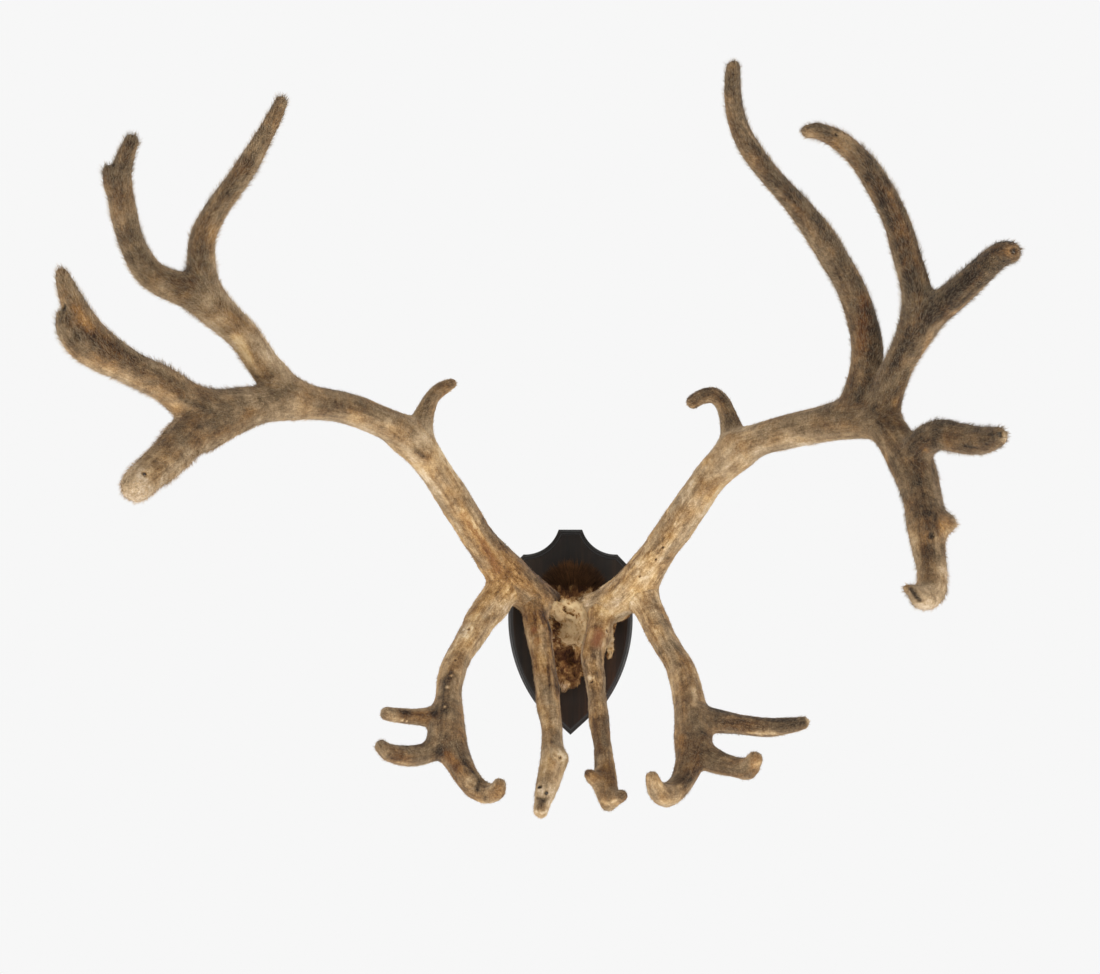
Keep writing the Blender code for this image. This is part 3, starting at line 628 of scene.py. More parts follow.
def limb_relief(grain):
    """Lumps and lengthwise ridges in mm: noise that is stretched along the limb."""
    lumps = 1.1 * soft_noise(grain / (36, 16, 16), 11)
    ridges = 0.7 * soft_noise(grain / (30, 6.5, 6.5), 12)
    fine = 0.4 * soft_noise(grain / (9, 4.2, 4.2), 13)
    return lumps + ridges + fine


def velvet_field(places, limbs):
    """Distance to the joined skin, -k log(sum of exp(-gap / k)) over the limbs, and the limbs' own values,
    each weighed by its exp(-gap / k)."""
    total = np.full(len(places), 1e-9)
    strongest = np.zeros(len(places))
    sums = {"outward": np.zeros((len(places), 3)), "way": np.zeros((len(places), 3)),
            "tone": np.zeros(len(places)), "relief": np.zeros(len(places))}
    grain = np.zeros((len(places), 3))
    for limb in limbs:
        margin = limb["radii"].max() + FIELD_REACH
        low = limb["centres"].min(axis=0) - margin
        high = limb["centres"].max(axis=0) + margin
        near = np.flatnonzero(np.all((places > low) & (places < high), axis=1))
        if not len(near):
            continue
        beside = beside_limb(places[near], limb)
        weight = np.exp(-beside["gap"] / FORK_FILLET)
        own = np.column_stack([beside["along"] + limb["shift"], beside["side"] * beside["radius"],
                               beside["up"] * beside["radius"]])
        share = beside["along"] / limb["along"][-1]
        relief = limb_relief(own) * (1 + near_skull(places[near]))
        values = {"outward": beside["outward"], "way": beside["way"], "relief": relief,
                  "tone": limb["tones"][0] * (1 - share) + limb["tones"][1] * share}
        for key, value in values.items():
            sums[key][near] += (value.T * weight).T
        total[near] += weight
        stronger = weight > strongest[near]
        strongest[near[stronger]] = weight[stronger]
        grain[near[stronger]] = own[stronger]
    found = {key: (value.T / total).T for key, value in sums.items()}
    found["gap"] = -FORK_FILLET * np.log(total)
    found["grain"] = grain
    found["sure"] = strongest / total
    return found


def settle(places, limbs, steps=4):
    """Moves places onto the skin: each step goes back along the field's slope by the distance that is left,
    6 mm at most."""
    for _ in range(steps):
        field = velvet_field(places, limbs)
        left = field["gap"] + NAP_SUNK * nap_length(places) - field["relief"]
        slope = field["outward"]
        steepness = np.maximum((slope ** 2).sum(axis=1), 0.25)
        places = places - slope * np.clip(left / steepness, -6, 6)[:, None]
    return places


print("hair in mm from skull to tips:", NAP_AT_SKULL, NAP_AT_TIPS)

# %% [markdown]
# ## Marks on the velvet
#
# This pair has a history: holes and small nails at the tips, slits, pale nicks, a bare patch, stains and a
# few pale ends. Some marks are painted shade instead: the dark inside of holes and grooves, shade at forks
# and under the pedicles, and the darker side of some tines, whose other side carries painted light. They
# could be painted by hand, but would be lost with every change to the skin. So each mark is named with the
# spots of the picture where it shows. A line of sight through a spot finds the point of the skin that the
# camera sees there, so a mark lies on its limb from every side. It then fades out over its own radius, as
# exp(-(distance / radius)^2).

# %% Marks and the spots where they show
# Stains and worn places, and painted shade and light where a patch is named shade or side: spots, radius in
# mm, and how much darker, more golden and barer the velvet is
PATCHES = {
    "rust on the left brow tine": ([(533, 630)], 5, -0.02, 0.8, 0.55),
    "lower rust on the left brow tine": ([(537, 641)], 5, -0.02, 0.8, 0.35),
    "shade over the left brow tine": ([(543, 620)], 13, 0.22, 0.9, 0.0),
    # Painted shade at the foot of the left beam by the skull, which is also more golden there
    "shaded golden foot of the left beam": ([(508, 574)], 24, 0.2, 0.5, 0.0),
    "pale scar on the right brow tine": ([(589.5, 677)], 4.5, -0.5, -0.2, 0.0),
    "pale edge of the bare patch": ([(604.5, 645)], 6, -0.35, 0.1, 0.0),
    "underside of the right beam": ([(800, 438)], 24, -0.16, -0.2, 0.0),
    "worn side of the right middle tine": ([(846, 139)], 12, -0.3, 0.4, 0.0),
    "end of the right outer tine": ([(1010, 250)], 16, -0.2, 0.3, 0.0),
    "outer side of the right lower palm tine": ([(943, 570)], 14, -0.25, -0.3, 0.0),
    "rust along the left beam": ([(463, 514), (480, 537), (489, 553), (497, 569)], 5, 0.1, 0.9, 0.25),
    "flecks under the left rear tine": ([(418, 452.7), (427.6, 458)], 5, 0.34, 0.3, 0.0),
    "shade inside the left brow tine": ([(551, 622), (554, 640), (556.5, 665), (558.5, 690)], 4, 0.36, 0.2,
                                        0.0),
    "nicked row down the left bez stem": ([(457, 655), (452, 676), (446, 690), (444, 712)], 6, 0.2, 0.1, 0.0),
    "dark top of the left upper prong": ([(400, 712), (434, 713)], 5, 0.4, 0.5, 0.0),
    "golden lobe of the left front prong": ([(447, 755), (458, 768)], 6, -0.08, 1.2, 0.05),
    "pale end of the left lobe": ([(469, 781)], 7, -0.36, -0.2, 0.0),
    "shade of the left fork": ([(440, 750)], 9, 0.22, 0.2, 0.0),
    "pink side of the left paddle": ([(554, 766)], 6, -0.2, 0.5, 0.2),
    "dark end of the left paddle": ([(542, 804.5)], 7, 0.36, 0.2, 0.0),
    "bare patch on the right brow tine": ([(600, 634), (596, 643)], 8.5, 0.22, 0.5, 0.72),
    "shade over the bare patch": ([(592, 626), (602, 628)], 4, 0.3, 0.3, 0.0),
    "olive blotch below the bare patch": ([(593, 656)], 5, 0.3, 0.1, 0.0),
    "cream blotch below the bare patch": ([(596.5, 663)], 4, -0.25, 0.0, 0.0),
    # Painted shade on the side of the right brow tine that faces the middle
    "dark side of the right brow tine": ([(594, 722), (600, 750)], 7, 0.26, 0.2, 0.0),
    "pale crease at its end": ([(602, 801), (609, 804), (616, 800)], 2.6, -0.36, 0.0, 0.0),
    "dark point at its end": ([(586, 772.5)], 5, 0.3, 0.0, 0.0),
    "pale streak on the right bez stem": ([(694, 690), (695, 705)], 4, -0.34, 0.1, 0.0),
    "shade of the right fork": ([(698, 768), (686, 780)], 8, 0.3, 0.1, 0.0),
    "dark top of the right long prong": ([(712, 708), (735, 714), (785, 720)], 5, 0.2, -0.2, 0.0),
    "pale line under the right long prong": ([(748, 733), (775, 733.5)], 2.6, -0.5, 0.2, 0.0),
    "ring before its end": ([(802, 723)], 4, 0.3, 0.0, 0.0),
    "pale end of the right long prong": ([(808.5, 720)], 5, -0.45, 0.0, 0.0),
    "pink end of the right lower prong": ([(754, 765)], 8, -0.3, 0.4, 0.05),
    "pale hook of the right front prong": ([(652, 778), (664, 800), (680, 800)], 8, -0.2, 0.3, 0.0),
    "pale middle of the left beam": ([(452, 493), (482, 533)], 13, -0.2, 0.3, 0.0),
    # Painted shade down the front-facing middle of the right palm, whose edges are lit
    "dark middle of the right palm": ([(916, 450), (920, 478), (929, 510), (929, 545), (928, 575)], 9, 0.12,
                                      0.0, 0.0),
    "golden notch under the right side tine": ([(926, 450)], 5, -0.34, 1.0, 0.0),
    "golden knob of the right palm": ([(944, 525)], 9, -0.14, 0.7, 0.0),
    "shade before the end of the side tine": ([(991, 435)], 7, 0.26, -0.2, 0.0),
    "pale end of the right side tine": ([(1006, 439)], 7, -0.4, -0.3, 0.0),
    "golden fork of the right crown": ([(896, 402)], 7, -0.36, 0.8, 0.0),
    "end of the right lower palm tine": ([(930, 602)], 26, -0.34, -1.0, 0.0),
    "golden lobe of the left palm": ([(76, 308), (90, 330)], 6, -0.14, 1.2, 0.05),
    "brown band of the left palm": ([(96, 333), (113, 347), (156, 375), (183, 393)], 8, 0.16, 0.4, 0.0),
    "pale band below it": ([(78, 358), (110, 368), (150, 383), (172, 396)], 8, -0.16, 0.1, 0.0),
    "golden fork of the left palm": ([(177, 409)], 8, -0.16, 0.8, 0.0),
    "golden side of the left crown": ([(239, 339), (249, 360)], 9, -0.34, 0.9, 0.0),
    "end of the left lower palm tine": ([(134, 488)], 18, -0.14, -1.1, 0.0),
    # The patches named dark side and pale side below are painted shade and painted light on the two sides of
    # a tine; the extra gold on the pale sides is the velvet's own colour
    "dark side of the right inner tine": ([(741, 62), (741, 85), (744, 105)], 4, 0.2, 0.0, 0.0),
    "rusty foot of the right inner tine": ([(864, 300), (861, 344)], 9, -0.05, 0.9, 0.06),
    "dark side of the right middle tine": ([(854, 161), (880, 197), (895, 235), (906, 275)], 7, 0.18, 0.2,
                                           0.0),
    "pale side of the right middle tine": ([(890, 192), (912, 246), (924, 282)], 6, -0.2, 0.5, 0.04),
    "dark side of the right outer tine": ([(930, 314), (949, 296), (973, 270)], 8, 0.16, 0.0, 0.0),
    "pale side of the right outer tine": ([(936, 326), (960, 309), (983, 288)], 6, -0.26, 0.3, 0.03),
    "dark side of the right crown stem": ([(893, 362), (905, 335)], 8, 0.14, 0.0, 0.0),
    "pale side of the right crown stem": ([(922, 354), (930, 335)], 6, -0.2, 0.5, 0.04),
}
# Grooves and slits: the spots that they pass, half width and depth in mm, and how much darker they are; a
# positive darkening is painted shade in the groove, a negative one a pale line
GROOVES = {
    "line down the left brow tine": ([(548.5, 665), (550, 700), (551.5, 742)], 2.0, 1.2, 0.34),
    "crease over the left brow tine": ([(522.5, 615), (535, 618.5), (547.5, 613)], 2.4, 1.8, 0.26),
    "seam of the left crown": ([(252, 376), (262, 378), (272, 376)], 2.4, 1.2, 0.26),
    "nick under the left palm": ([(182, 456), (187, 464)], 2.2, 1.2, 0.26),
    "split of the left upper palm tine": ([(62.5, 305), (69, 322), (78, 340)], 3.4, 2.6, 0.22),
    "edge of the left lobe": ([(466, 762), (474, 772), (480, 781), (477, 789)], 2.6, 2.0, 0.3),
    "step of the left paddle": ([(537, 797), (544, 799.5), (550, 797)], 2.6, 1.6, 0.4),
    "crease across the left paddle": ([(536, 811), (542, 813.5), (547.5, 811)], 1.8, 0.8, -0.5),
    "fold beside the right palm's knob": ([(936, 514), (934, 527), (939, 534)], 2.6, 1.4, 0.25),
    "slit at the end of the right palm": ([(911, 589), (915.5, 595.5), (920, 602)], 2.4, 2.6, 0.6),
    "slit on the right side tine": ([(964, 446), (976, 448)], 1.8, 1.0, 0.35),
    "seam of the right inner tine": ([(743, 122), (750, 134), (758, 145)], 2.2, 0.8, -0.3),
}
# Holes, with a nail in them and without, and pale nicks: spot and radius in mm
NAILED_HOLES = [((144.5, 474), 3.4), ((1000, 434), 3.2), ((1013.4, 251.5), 3.2), ((539.5, 787), 2.6),
                ((547, 793), 2.6)]
OPEN_HOLES = [((591.5, 681), 2.0), ((607.5, 631), 2.2), ((63.5, 308), 3.4), ((931.4, 536), 3.4),
              ((836.6, 134.4), 2.2), ((560, 758), 2.4), ((468.5, 629), 1.9), ((454.7, 660), 1.7),
              ((655, 560), 1.8), ((662, 548), 1.6), ((640, 577), 2.0)]
PALE_NICKS = [((452, 675.6), 2.2), ((447.3, 687.5), 3.0), ((444.2, 707), 2.2), ((403, 720.5), 2.0),
              ((407.5, 721), 1.8), ((463, 630), 1.8)]
BETWEEN_ANTLERS = 575
GROOVE_WEAR = 0.6
# The inside and the rim of a hole and of a nick: radius over its own, how much darker the velvet is, depth in
# mm, and the share of the hair that is missing. The darkness inside a hole is painted shade.
HOLE_SHAPE = [(1.0, 1.1, 2.4, 0.9), (2.6, -0.35, 0, 0)]
NICK_SHAPE = [(1.0, -1.1, 0, 0.7), (2.2, 0.3, 0, 0)]


def spot_on_skin(places, spot):
    """The point of a skin that shows at a spot of the picture: the one with the least distance from the
    camera plus six times its distance from the line of sight."""
    away = places - CAMERA_PLACE
    line = sight_line(spot)
    depth = away @ line
    beside = np.linalg.norm(away - depth[:, None] * line, axis=1)
    return places[(depth + 6 * beside).argmin()]


def fading(places, route, radius):
    """1 on a route and less beside it: exp(-(distance / radius)^2), with the distance to the nearest of its
    stretches. A single spot is a route that ends where it starts."""
    distance = np.linalg.norm(beside_route(places, np.array(route + route[-1:]))[1], axis=2).min(axis=1)
    return np.exp(-(distance / radius) ** 2)


def all_marks():
    """Every mark as one row: its spots and radius, how much darker, more golden, barer and deeper the velvet
    is there, and how much of its hair is missing."""
    rows = [(*patch, 0, 0) for patch in PATCHES.values()]
    rows += [(spots, radius, darker, 0, 0, depth, GROOVE_WEAR)
             for spots, radius, depth, darker in GROOVES.values()]
    for spots, shape in ((NAILED_HOLES + OPEN_HOLES, HOLE_SHAPE), (PALE_NICKS, NICK_SHAPE)):
        rows += [([spot], widening * radius, darker, 0, 0, depth, wear)
                 for spot, radius in spots for widening, darker, depth, wear in shape]
    return rows


def mark_skin(places, left):
    """What all marks on one antler do to its points: the sums of their shifts of tone, gold and bareness and
    of their depths, and the hair that is left."""
    marks = {"tone": 0, "gold": 0, "bare": 0, "press": 0, "nap": 1}
    for spots, radius, *shifts, wear in all_marks():
        if (spots[0][0] < BETWEEN_ANTLERS) == left:
            near = fading(places, [spot_on_skin(places, spot) for spot in spots], radius)
            for key, shift in zip(("tone", "gold", "bare", "press"), shifts):
                marks[key] = marks[key] + shift * near
            marks["nap"] = marks["nap"] * (1 - wear * near)
    return marks


print("marks:", len(PATCHES), "patches,", len(GROOVES), "grooves,",
      len(NAILED_HOLES + OPEN_HOLES), "holes,", len(PALE_NICKS), "nicks")

# %% [markdown]
# ## Merging the skins
#
# Joining the tubes with booleans would leave long thin faces at every fork. Remeshing them on a grid gives
# even quads instead. The grid's stairs vanish when the points are moved onto the smooth field, and the forks
# are relaxed a little more, as skin pulls tight across them. Then the marks are pressed in.

# %% The merged skins
SKIN_VOXEL = 2.34
TUBE_SIDES = 20
FORK_ROUNDS = 26


def voxel_skin(shapes, voxel):
    """Merges closed shapes into one skin on a grid of that many mm. Returns its places and its quads."""
    counts = np.cumsum([0] + [len(places) for places, _ in shapes])
    places = np.vstack([places for places, _ in shapes])
    faces = np.vstack([faces + start for (_, faces), start in zip(shapes, counts)])
    rough = add_object("rough", fill_mesh("rough", places, faces))
    merge = rough.modifiers.new("Merge", "REMESH")
    merge.mode = "VOXEL"
    merge.voxel_size = voxel * MM
    merged = bpy.data.meshes.new_from_object(rough.evaluated_get(bpy.context.evaluated_depsgraph_get()))
    places = np.empty(len(merged.vertices) * 3, np.float32)
    merged.vertices.foreach_get("co", places)
    corners = np.empty(len(merged.loops), np.int32)
    merged.loops.foreach_get("vertex_index", corners)
    bpy.data.objects.remove(rough)
    bpy.data.meshes.remove(merged)
    return places.reshape(-1, 3).astype(float) / MM, corners.reshape(-1, 4)


def relax(places, quads, rounds):
    """Moves every place half way to the middle of its neighbours, again and again."""
    pairs = np.vstack([quads[:, [i, (i + 1) % 4]] for i in range(4)])
    count = np.bincount(pairs[:, 0], minlength=len(places))
    for _ in range(rounds):
        middle = np.column_stack([np.bincount(pairs[:, 0], places[pairs[:, 1], axis], len(places))
                                  for axis in range(3)]) / np.maximum(count, 1)[:, None]
        places = (places + middle) / 2
    return places


def velvet_values(places, limbs, marks):
    """The field's values on the finished skin, with its patches and marks. The underside of a limb is paler
    than its top, and its flanks are paler than its front and back: partly the velvet's own colour, partly
    painted light and shade as from lamps at the sides and below. Near the skull the tops of the ridges are
    paler, a painted highlight."""
    field = velvet_field(places, limbs)
    facing = unit(field["outward"])
    worn = near_skull(places)
    patches = 0.13 * rough_noise(places / 46, 21) + 0.10 * rough_noise(places / 17, 24)
    streaks = 0.12 * rough_noise(field["grain"] / (60, 7, 7), 27) * smooth_step(field["sure"], 0.5, 0.9)
    # Painted highlight: paler where the ridges of limb_relief rise near the skull, darker between them
    painted_ridge_light = -0.12 * worn * soft_noise(field["grain"] / (30, 6.5, 6.5), 12)
    # Painted light and shade: tops, fronts and backs darker, undersides and flanks paler
    painted_side_light = 0.10 * facing[:, 2] + 0.2 * (facing[:, 1] ** 2 - 0.5) * (1 - worn)
    field["tone"] = np.clip(field["tone"] + patches + streaks + painted_ridge_light + painted_side_light + marks["tone"], 0, 1.1)
    golden = (0.6 + 0.3 * worn) * rough_noise(field["grain"] / (52, 14, 14), 31)
    field["gold"] = np.clip(0.22 + 0.38 * worn + golden + marks["gold"], -0.4, 1.4)
    field["bare"] = np.clip(marks["bare"], 0, 1)
    field["worn"] = worn * (0.45 + 0.55 * smooth_step(rough_noise(places / 21, 41), -0.2, 0.5))
    field["nap"] = nap_length(places) * (1 + 0.25 * soft_noise(places / 24, 35)) * marks["nap"]
    return field


def make_skin(name, limbs, antler):
    """One antler's velvet skin, with what its material and its hair need kept on each vertex."""
    tubes = [tube_surface(limb["centres"], limb["radii"], TUBE_SIDES, limb["flatness"]) for limb in limbs]
    places, quads = voxel_skin(tubes, SKIN_VOXEL)
    places = settle(places, limbs)
    at_fork = 1 - smooth_step(velvet_field(places, limbs)["sure"], 0.6, 0.93)
    places = places + (relax(places, quads, FORK_ROUNDS) - places) * at_fork[:, None]
    marks = mark_skin(places, antler is LEFT_ANTLER)
    places = places - unit(velvet_field(places, limbs)["outward"]) * np.reshape(marks["press"], (-1, 1))
    values = velvet_values(places, limbs, marks)
    mesh = fill_mesh(name, places, quads)
    for key, kept in velvet_marks(values).items():
        set_values(mesh, key, kept)
    place_piece(name, mesh, velvet_skin, antler)
    print(name, len(quads) * 2, "triangles")
    return {"places": places, "quads": quads, **values}


left_skin = make_skin("left_antler_velvet", left_limbs, LEFT_ANTLER)
right_skin = make_skin("right_antler_velvet", right_limbs, RIGHT_ANTLER)

# %% [markdown]
# ## The velvet's hair
#
# What makes velvet look like velvet is its nap: short hairs that lie towards the tip of each limb and stand
# up further where they are long. A hair system would draw them only in a render, so here each hair is a thin
# closed spike of four triangles. Roots are strewn over the skin in proportion to its area, and each spike
# takes its direction, length and colour from the skin under it. From a step away the spikes melt into fur,
# and at the outline they show as the real fuzz does.

# %% Hairs as spikes
HAIRS_EACH = 190000 // 4
TUFT_SIZE = 8.0
HAIR_WIDTH = 0.46
# Roots lie this deep in the skin, in mm
ROOT_DEPTH = 0.25
# How far a hair leans outwards, how much more for each mm of its length, and how far it follows its tuft
NAP_RISE = 0.26
RISE_WITH_LENGTH = 0.075
TUFT_PULL = 0.45


def face_sides(skin):
    """Two triangles for each quad, and for each the cross product of two sides, twice its area long."""
    quads = skin["quads"]
    triangles = np.vstack([quads[:, [0, 1, 2]], quads[:, [0, 2, 3]]])
    corners = skin["places"][triangles]
    return triangles, np.cross(corners[:, 1] - corners[:, 0], corners[:, 2] - corners[:, 0])


def strew(skin, count, rng, keep):
    """Random places on a skin, by area and by the share that keep gives each point, with the skin's own
    values there. A triangle is drawn by its share of the whole, and a place in it is a mix of its corners."""
    triangles, across = face_sides(skin)
    area = np.linalg.norm(across, axis=1) * keep[triangles].mean(axis=1)
    chosen = np.searchsorted(np.cumsum(area) / area.sum(), rng.random(count))
    mix = rng.random((count, 2))
    mix = np.where(mix.sum(axis=1, keepdims=True) > 1, 1 - mix, mix)
    mix = np.column_stack([1 - mix.sum(axis=1), mix])
    found = {"normal": unit(across[chosen])}
    for key in ("places", "way", "grain", "tone", "gold", "bare", "worn", "nap"):
        values = skin[key][triangles[chosen]]
        found[key] = np.einsum("nc,nc...->n...", mix, values)
    return found


def hair_mesh(name, paths, widths, normals, **values):
    """Hairs as closed spikes: a three-cornered section carried along each path and shrinking to a point, as
    the power 0.6 of the way that is left. Its corners lie at the left, the right and above."""
    count, points, _ = paths.shape
    onward = unit(np.diff(paths, axis=1))
    side = unit(np.cross(normals[:, None], onward))
    above = np.cross(onward, side)
    thin = (widths[:, None] * (1 - np.arange(points - 1) / (points - 1)) ** 0.6)[..., None]
    ring = np.stack([paths[:, :-1] - side * thin / 2, paths[:, :-1] + side * thin / 2,
                     paths[:, :-1] + above * thin * 0.45], axis=2)
    places = np.concatenate([ring.reshape(count, -1, 3), paths[:, -1:]], axis=1)
    each = places.shape[1]
    faces = [(2, 1, 0)]
    for ring_start in range(0, 3 * (points - 2), 3):
        for a, b in ((0, 1), (1, 2), (2, 0)):
            a, b = ring_start + a, ring_start + b
            faces += [(a, b, b + 3), (a, b + 3, a + 3)]
    last = 3 * (points - 2)
    faces += [(last + a, last + b, each - 1) for a, b in ((0, 1), (1, 2), (2, 0))]
    faces = np.array(faces)[None] + (np.arange(count) * each)[:, None, None]
    mesh = fill_mesh(name, places.reshape(-1, 3), faces.reshape(-1, 3))
    for key, value in values.items():
        set_values(mesh, key, np.repeat(value, each, axis=0))
    reach = np.append(np.repeat(np.arange(points - 1) / (points - 1), 3), 1.0)
    set_values(mesh, "reach", np.tile(reach, count))
    return mesh


def comb_velvet(name, skin, keep, seed):
    """The nap of one stretch of skin. A hair's direction mixes the way along the limb, the way outwards, more
    of it where the nap is long, the lean that it shares with its tuft, and a little chance."""
    rng = np.random.default_rng(seed)
    root = strew(skin, HAIRS_EACH, rng, keep * (1 - skin["bare"]))
    tuft = np.column_stack([soft_noise(root["places"] / TUFT_SIZE, 43 + axis) for axis in range(3)])
    rise = NAP_RISE + RISE_WITH_LENGTH * root["nap"] + 0.2 * rng.standard_normal(HAIRS_EACH)
    onward = unit(root["way"] - root["normal"] * (root["way"] * root["normal"]).sum(axis=1, keepdims=True))
    stray = 0.25 * rng.standard_normal((HAIRS_EACH, 3)) + TUFT_PULL * tuft
    lean = unit(onward + root["normal"] * np.maximum(rise, 0.08)[:, None] + stray)
    length = root["nap"] * rng.uniform(0.75, 1.45, HAIRS_EACH)
    start = root["places"] - root["normal"] * ROOT_DEPTH
    paths = np.stack([start, start + lean * length[:, None]], axis=1)
    widths = HAIR_WIDTH * rng.uniform(0.7, 1.3, HAIRS_EACH)
    mesh = hair_mesh(name, paths, widths, root["normal"], strand=rng.random(HAIRS_EACH), **velvet_marks(root))
    place_piece(name, mesh, velvet_hair, smooth=False)


def area_of_points(skin):
    """A third of the area of the triangles round each point."""
    triangles, across = face_sides(skin)
    area = np.linalg.norm(across, axis=1) / 6
    return np.bincount(triangles.ravel(), np.repeat(area, 3), minlength=len(skin["places"]))


for label, skin, seed in (("left", left_skin, 1), ("right", right_skin, 2)):
    reach_out = np.abs(skin["places"][:, 0])
    order = np.argsort(reach_out)
    share = np.empty(len(order))
    share[order] = np.cumsum(area_of_points(skin)[order])
    half_way = reach_out[order][np.searchsorted(share[order], share[order][-1] / 2)]
    comb_velvet(f"{label}_inner_nap", skin, (reach_out <= half_way).astype(float), 10 * seed)
    comb_velvet(f"{label}_outer_nap", skin, (reach_out > half_way).astype(float), 10 * seed + 1)
    print(label, "nap parts at", round(half_way), "mm from the middle;",
          round(share[order][-1] / 1e6, 3), "square metres")

# %% [markdown]
# ## The hide on the skull plate
#
# Between the antlers the scalp was left on the bone. It dried in soft folds round a lump in the middle of the
# brow, is torn at its right edge, and hangs in a ragged flap below. It could be sculpted by hand, or be one
# loft, which would be too even. Here the skull's dome is a loft, each fold is a rope laid on it, and the torn
# strips are flat ropes.

# %% Shapes under the hide
HIDE_VOXEL = 1.25
HIDE_BACK = 22.6
# Sections of the skull: height, middle, half width and stand-off in mm
SKULL_SECTIONS = [
    (63, 0, 21, 50), (58, 0, 42, 68), (44, 0, 58, 84), (28, 0, 60, 88), (12, 0, 53, 88), (0, 0, 45, 82),
    (-12, -1, 39, 73), (-24, -2, 33, 59), (-38, -3, 27, 49), (-50, -5, 23, 46), (-62, -6, 17, 41),
    (-71, -6, 11, 35), (-76, -7, 5, 28),
]
SECTION_POINTS = 48
SECTION_ROUNDNESS = 0.85
LOFT_STEP = 3
ROPE_SIDES = 14
STRIP_FLATNESS = 0.5
# Folds of hide: place across, stand-off, height, radius
HIDE_FOLDS = [
    [(-2, 90, 10, 13), (0, 91, 7, 13.5), (1, 91, 3, 12)],
    [(-13, 90, 35, 5), (-4, 92, 32, 6), (5, 92, 30, 5)],
    [(-27, 88, 42, 6), (-22, 93, 37, 8), (-17, 95, 31, 8.5), (-14, 94, 24, 6.5)],
    [(-8, 91, 45, 6), (0, 94, 43, 6.5), (6, 95, 41, 6)],
    [(5, 94, 43, 6), (13, 97, 34, 5.5), (17, 98, 22, 5), (18, 98, 9, 5), (15, 95, -3, 5), (11, 90, -11, 4.5)],
    [(-4, 96, 28, 4.5), (3, 98, 26, 4.5), (9, 98, 18, 4.5), (11, 97, 8, 4)],
    [(-17, 87, 5, 4), (-12, 91, -1, 4.5), (-5, 95, -6, 5), (4, 95, -7, 4.5), (11, 92, -3, 4)],
    [(-17, 55, -50, 5), (-10, 54, -59, 6.5), (-6, 50, -67, 6), (-9, 43, -74, 4)],
    [(6, 54, -44, 6), (9, 53, -53, 6.5), (6, 50, -61, 5), (9, 44, -67, 3)],
    [(-10, 58, -40, 5), (-3, 60, -48, 6), (1, 56, -58, 5)],
    [(8, 78, -14, 6), (12, 70, -23, 6), (8, 62, -32, 5)],
]
TORN_STRIPS = [
    [(42, 78, 30, 13), (54, 74, 20, 8), (58, 68, 9, 5), (54, 64, 0, 4), (50, 62, -6, 3)],
    [(46, 92, 20, 7), (52, 95, 7, 6), (54, 95, -8, 5.5), (54, 92, -20, 5), (52, 89, -29, 4)],
    [(50, 88, 30, 9), (64, 84, 26, 7), (74, 78, 27, 5.5), (83, 73, 34, 3.5)],
]


def skull_dome():
    """The skull cap: at each height half a superellipse, across = middle + half width * cos^r and
    stand-off = back + depth * sin^r, closed by the flat back."""
    rows = smooth_path(SKULL_SECTIONS, LOFT_STEP)
    turn = np.linspace(0, math.pi, SECTION_POINTS)
    across = np.sign(np.cos(turn)) * np.abs(np.cos(turn)) ** SECTION_ROUNDNESS
    outward = np.sin(turn) ** SECTION_ROUNDNESS
    x = rows[:, 1, None] + across * rows[:, 2, None]
    y = -(HIDE_BACK + outward * (rows[:, 3, None] - HIDE_BACK))
    z = np.repeat(rows[:, :1], SECTION_POINTS, axis=1)
    places = np.stack([x, y, z], axis=2).reshape(-1, 3)
    ends = [(rows[0, 1], -HIDE_BACK - 5, rows[0, 0] + 0.2), (rows[-1, 1], -HIDE_BACK - 2, rows[-1, 0] - 0.2)]
    return np.vstack([places, ends]), tube_faces(len(rows), SECTION_POINTS)


def rope(stations, flatness=1.0):
    """A rope or strip of hide along a few stations."""
    rows = smooth_path(stations, LOFT_STEP)
    return tube_surface(rows[:, :3] * (1, -1, 1), rows[:, 3], ROPE_SIDES, flatness)


def point_normals(places, quads):
    """The mean of the normals of the quads round each point."""
    corners = places[quads]
    normals = np.cross(corners[:, 2] - corners[:, 0], corners[:, 3] - corners[:, 1])
    total = np.column_stack([np.bincount(quads.ravel(), np.repeat(normals[:, axis], 4), len(places))
                             for axis in range(3)])
    return unit(total)


print("folds in the hide:", len(HIDE_FOLDS), "torn strips:", len(TORN_STRIPS))

# %% [markdown]
# ## Drying the hide
#
# The dome, the folds and the strips are merged on a finer grid than the velvet and relaxed, as skin shrinks
# over bone. The hide is drawn up where it meets the antlers and then creased with noise, because folds much
# finer than a rope would take hundreds of ropes. Its colour goes by the place on the head, and is mixed from
# the same numbers as the velvet's.

# %% The hide itself
# Slits in the top of the brow: places in mm, and how wide and deep they are, and how dark the painted shade
# in them is
HIDE_SLITS = [
    [(-10, -96, 37), (-5, -99, 32), (3, -100, 29)],
    [(19, -97, 41), (22, -98, 34), (24, -97, 28)],
]
SLIT_RADIUS = 2.4
SLIT_DEPTH = 2.0
SLIT_SHADE = 0.7
DRYING_ROUNDS = 14
# Creases and smaller lumps in mm
CREASE_HEIGHT = 1.9
LUMP_HEIGHT = 1.6
DRAWN_UP = 3.0
DRAWN_WIDTH = 4.0
# How far the hide takes on the velvet's tone where it is drawn up
VELVET_SHARE = 0.8
# How much painted shade darkens the hide for each mm of a hollow, and how much of its red-brown skin shows
HOLLOW_SHADE = 0.4
HIDE_REDNESS = 0.15
# The hair lies in a swirl round this place of the brow
SWIRL_MIDDLE = (-4, -100, 13)


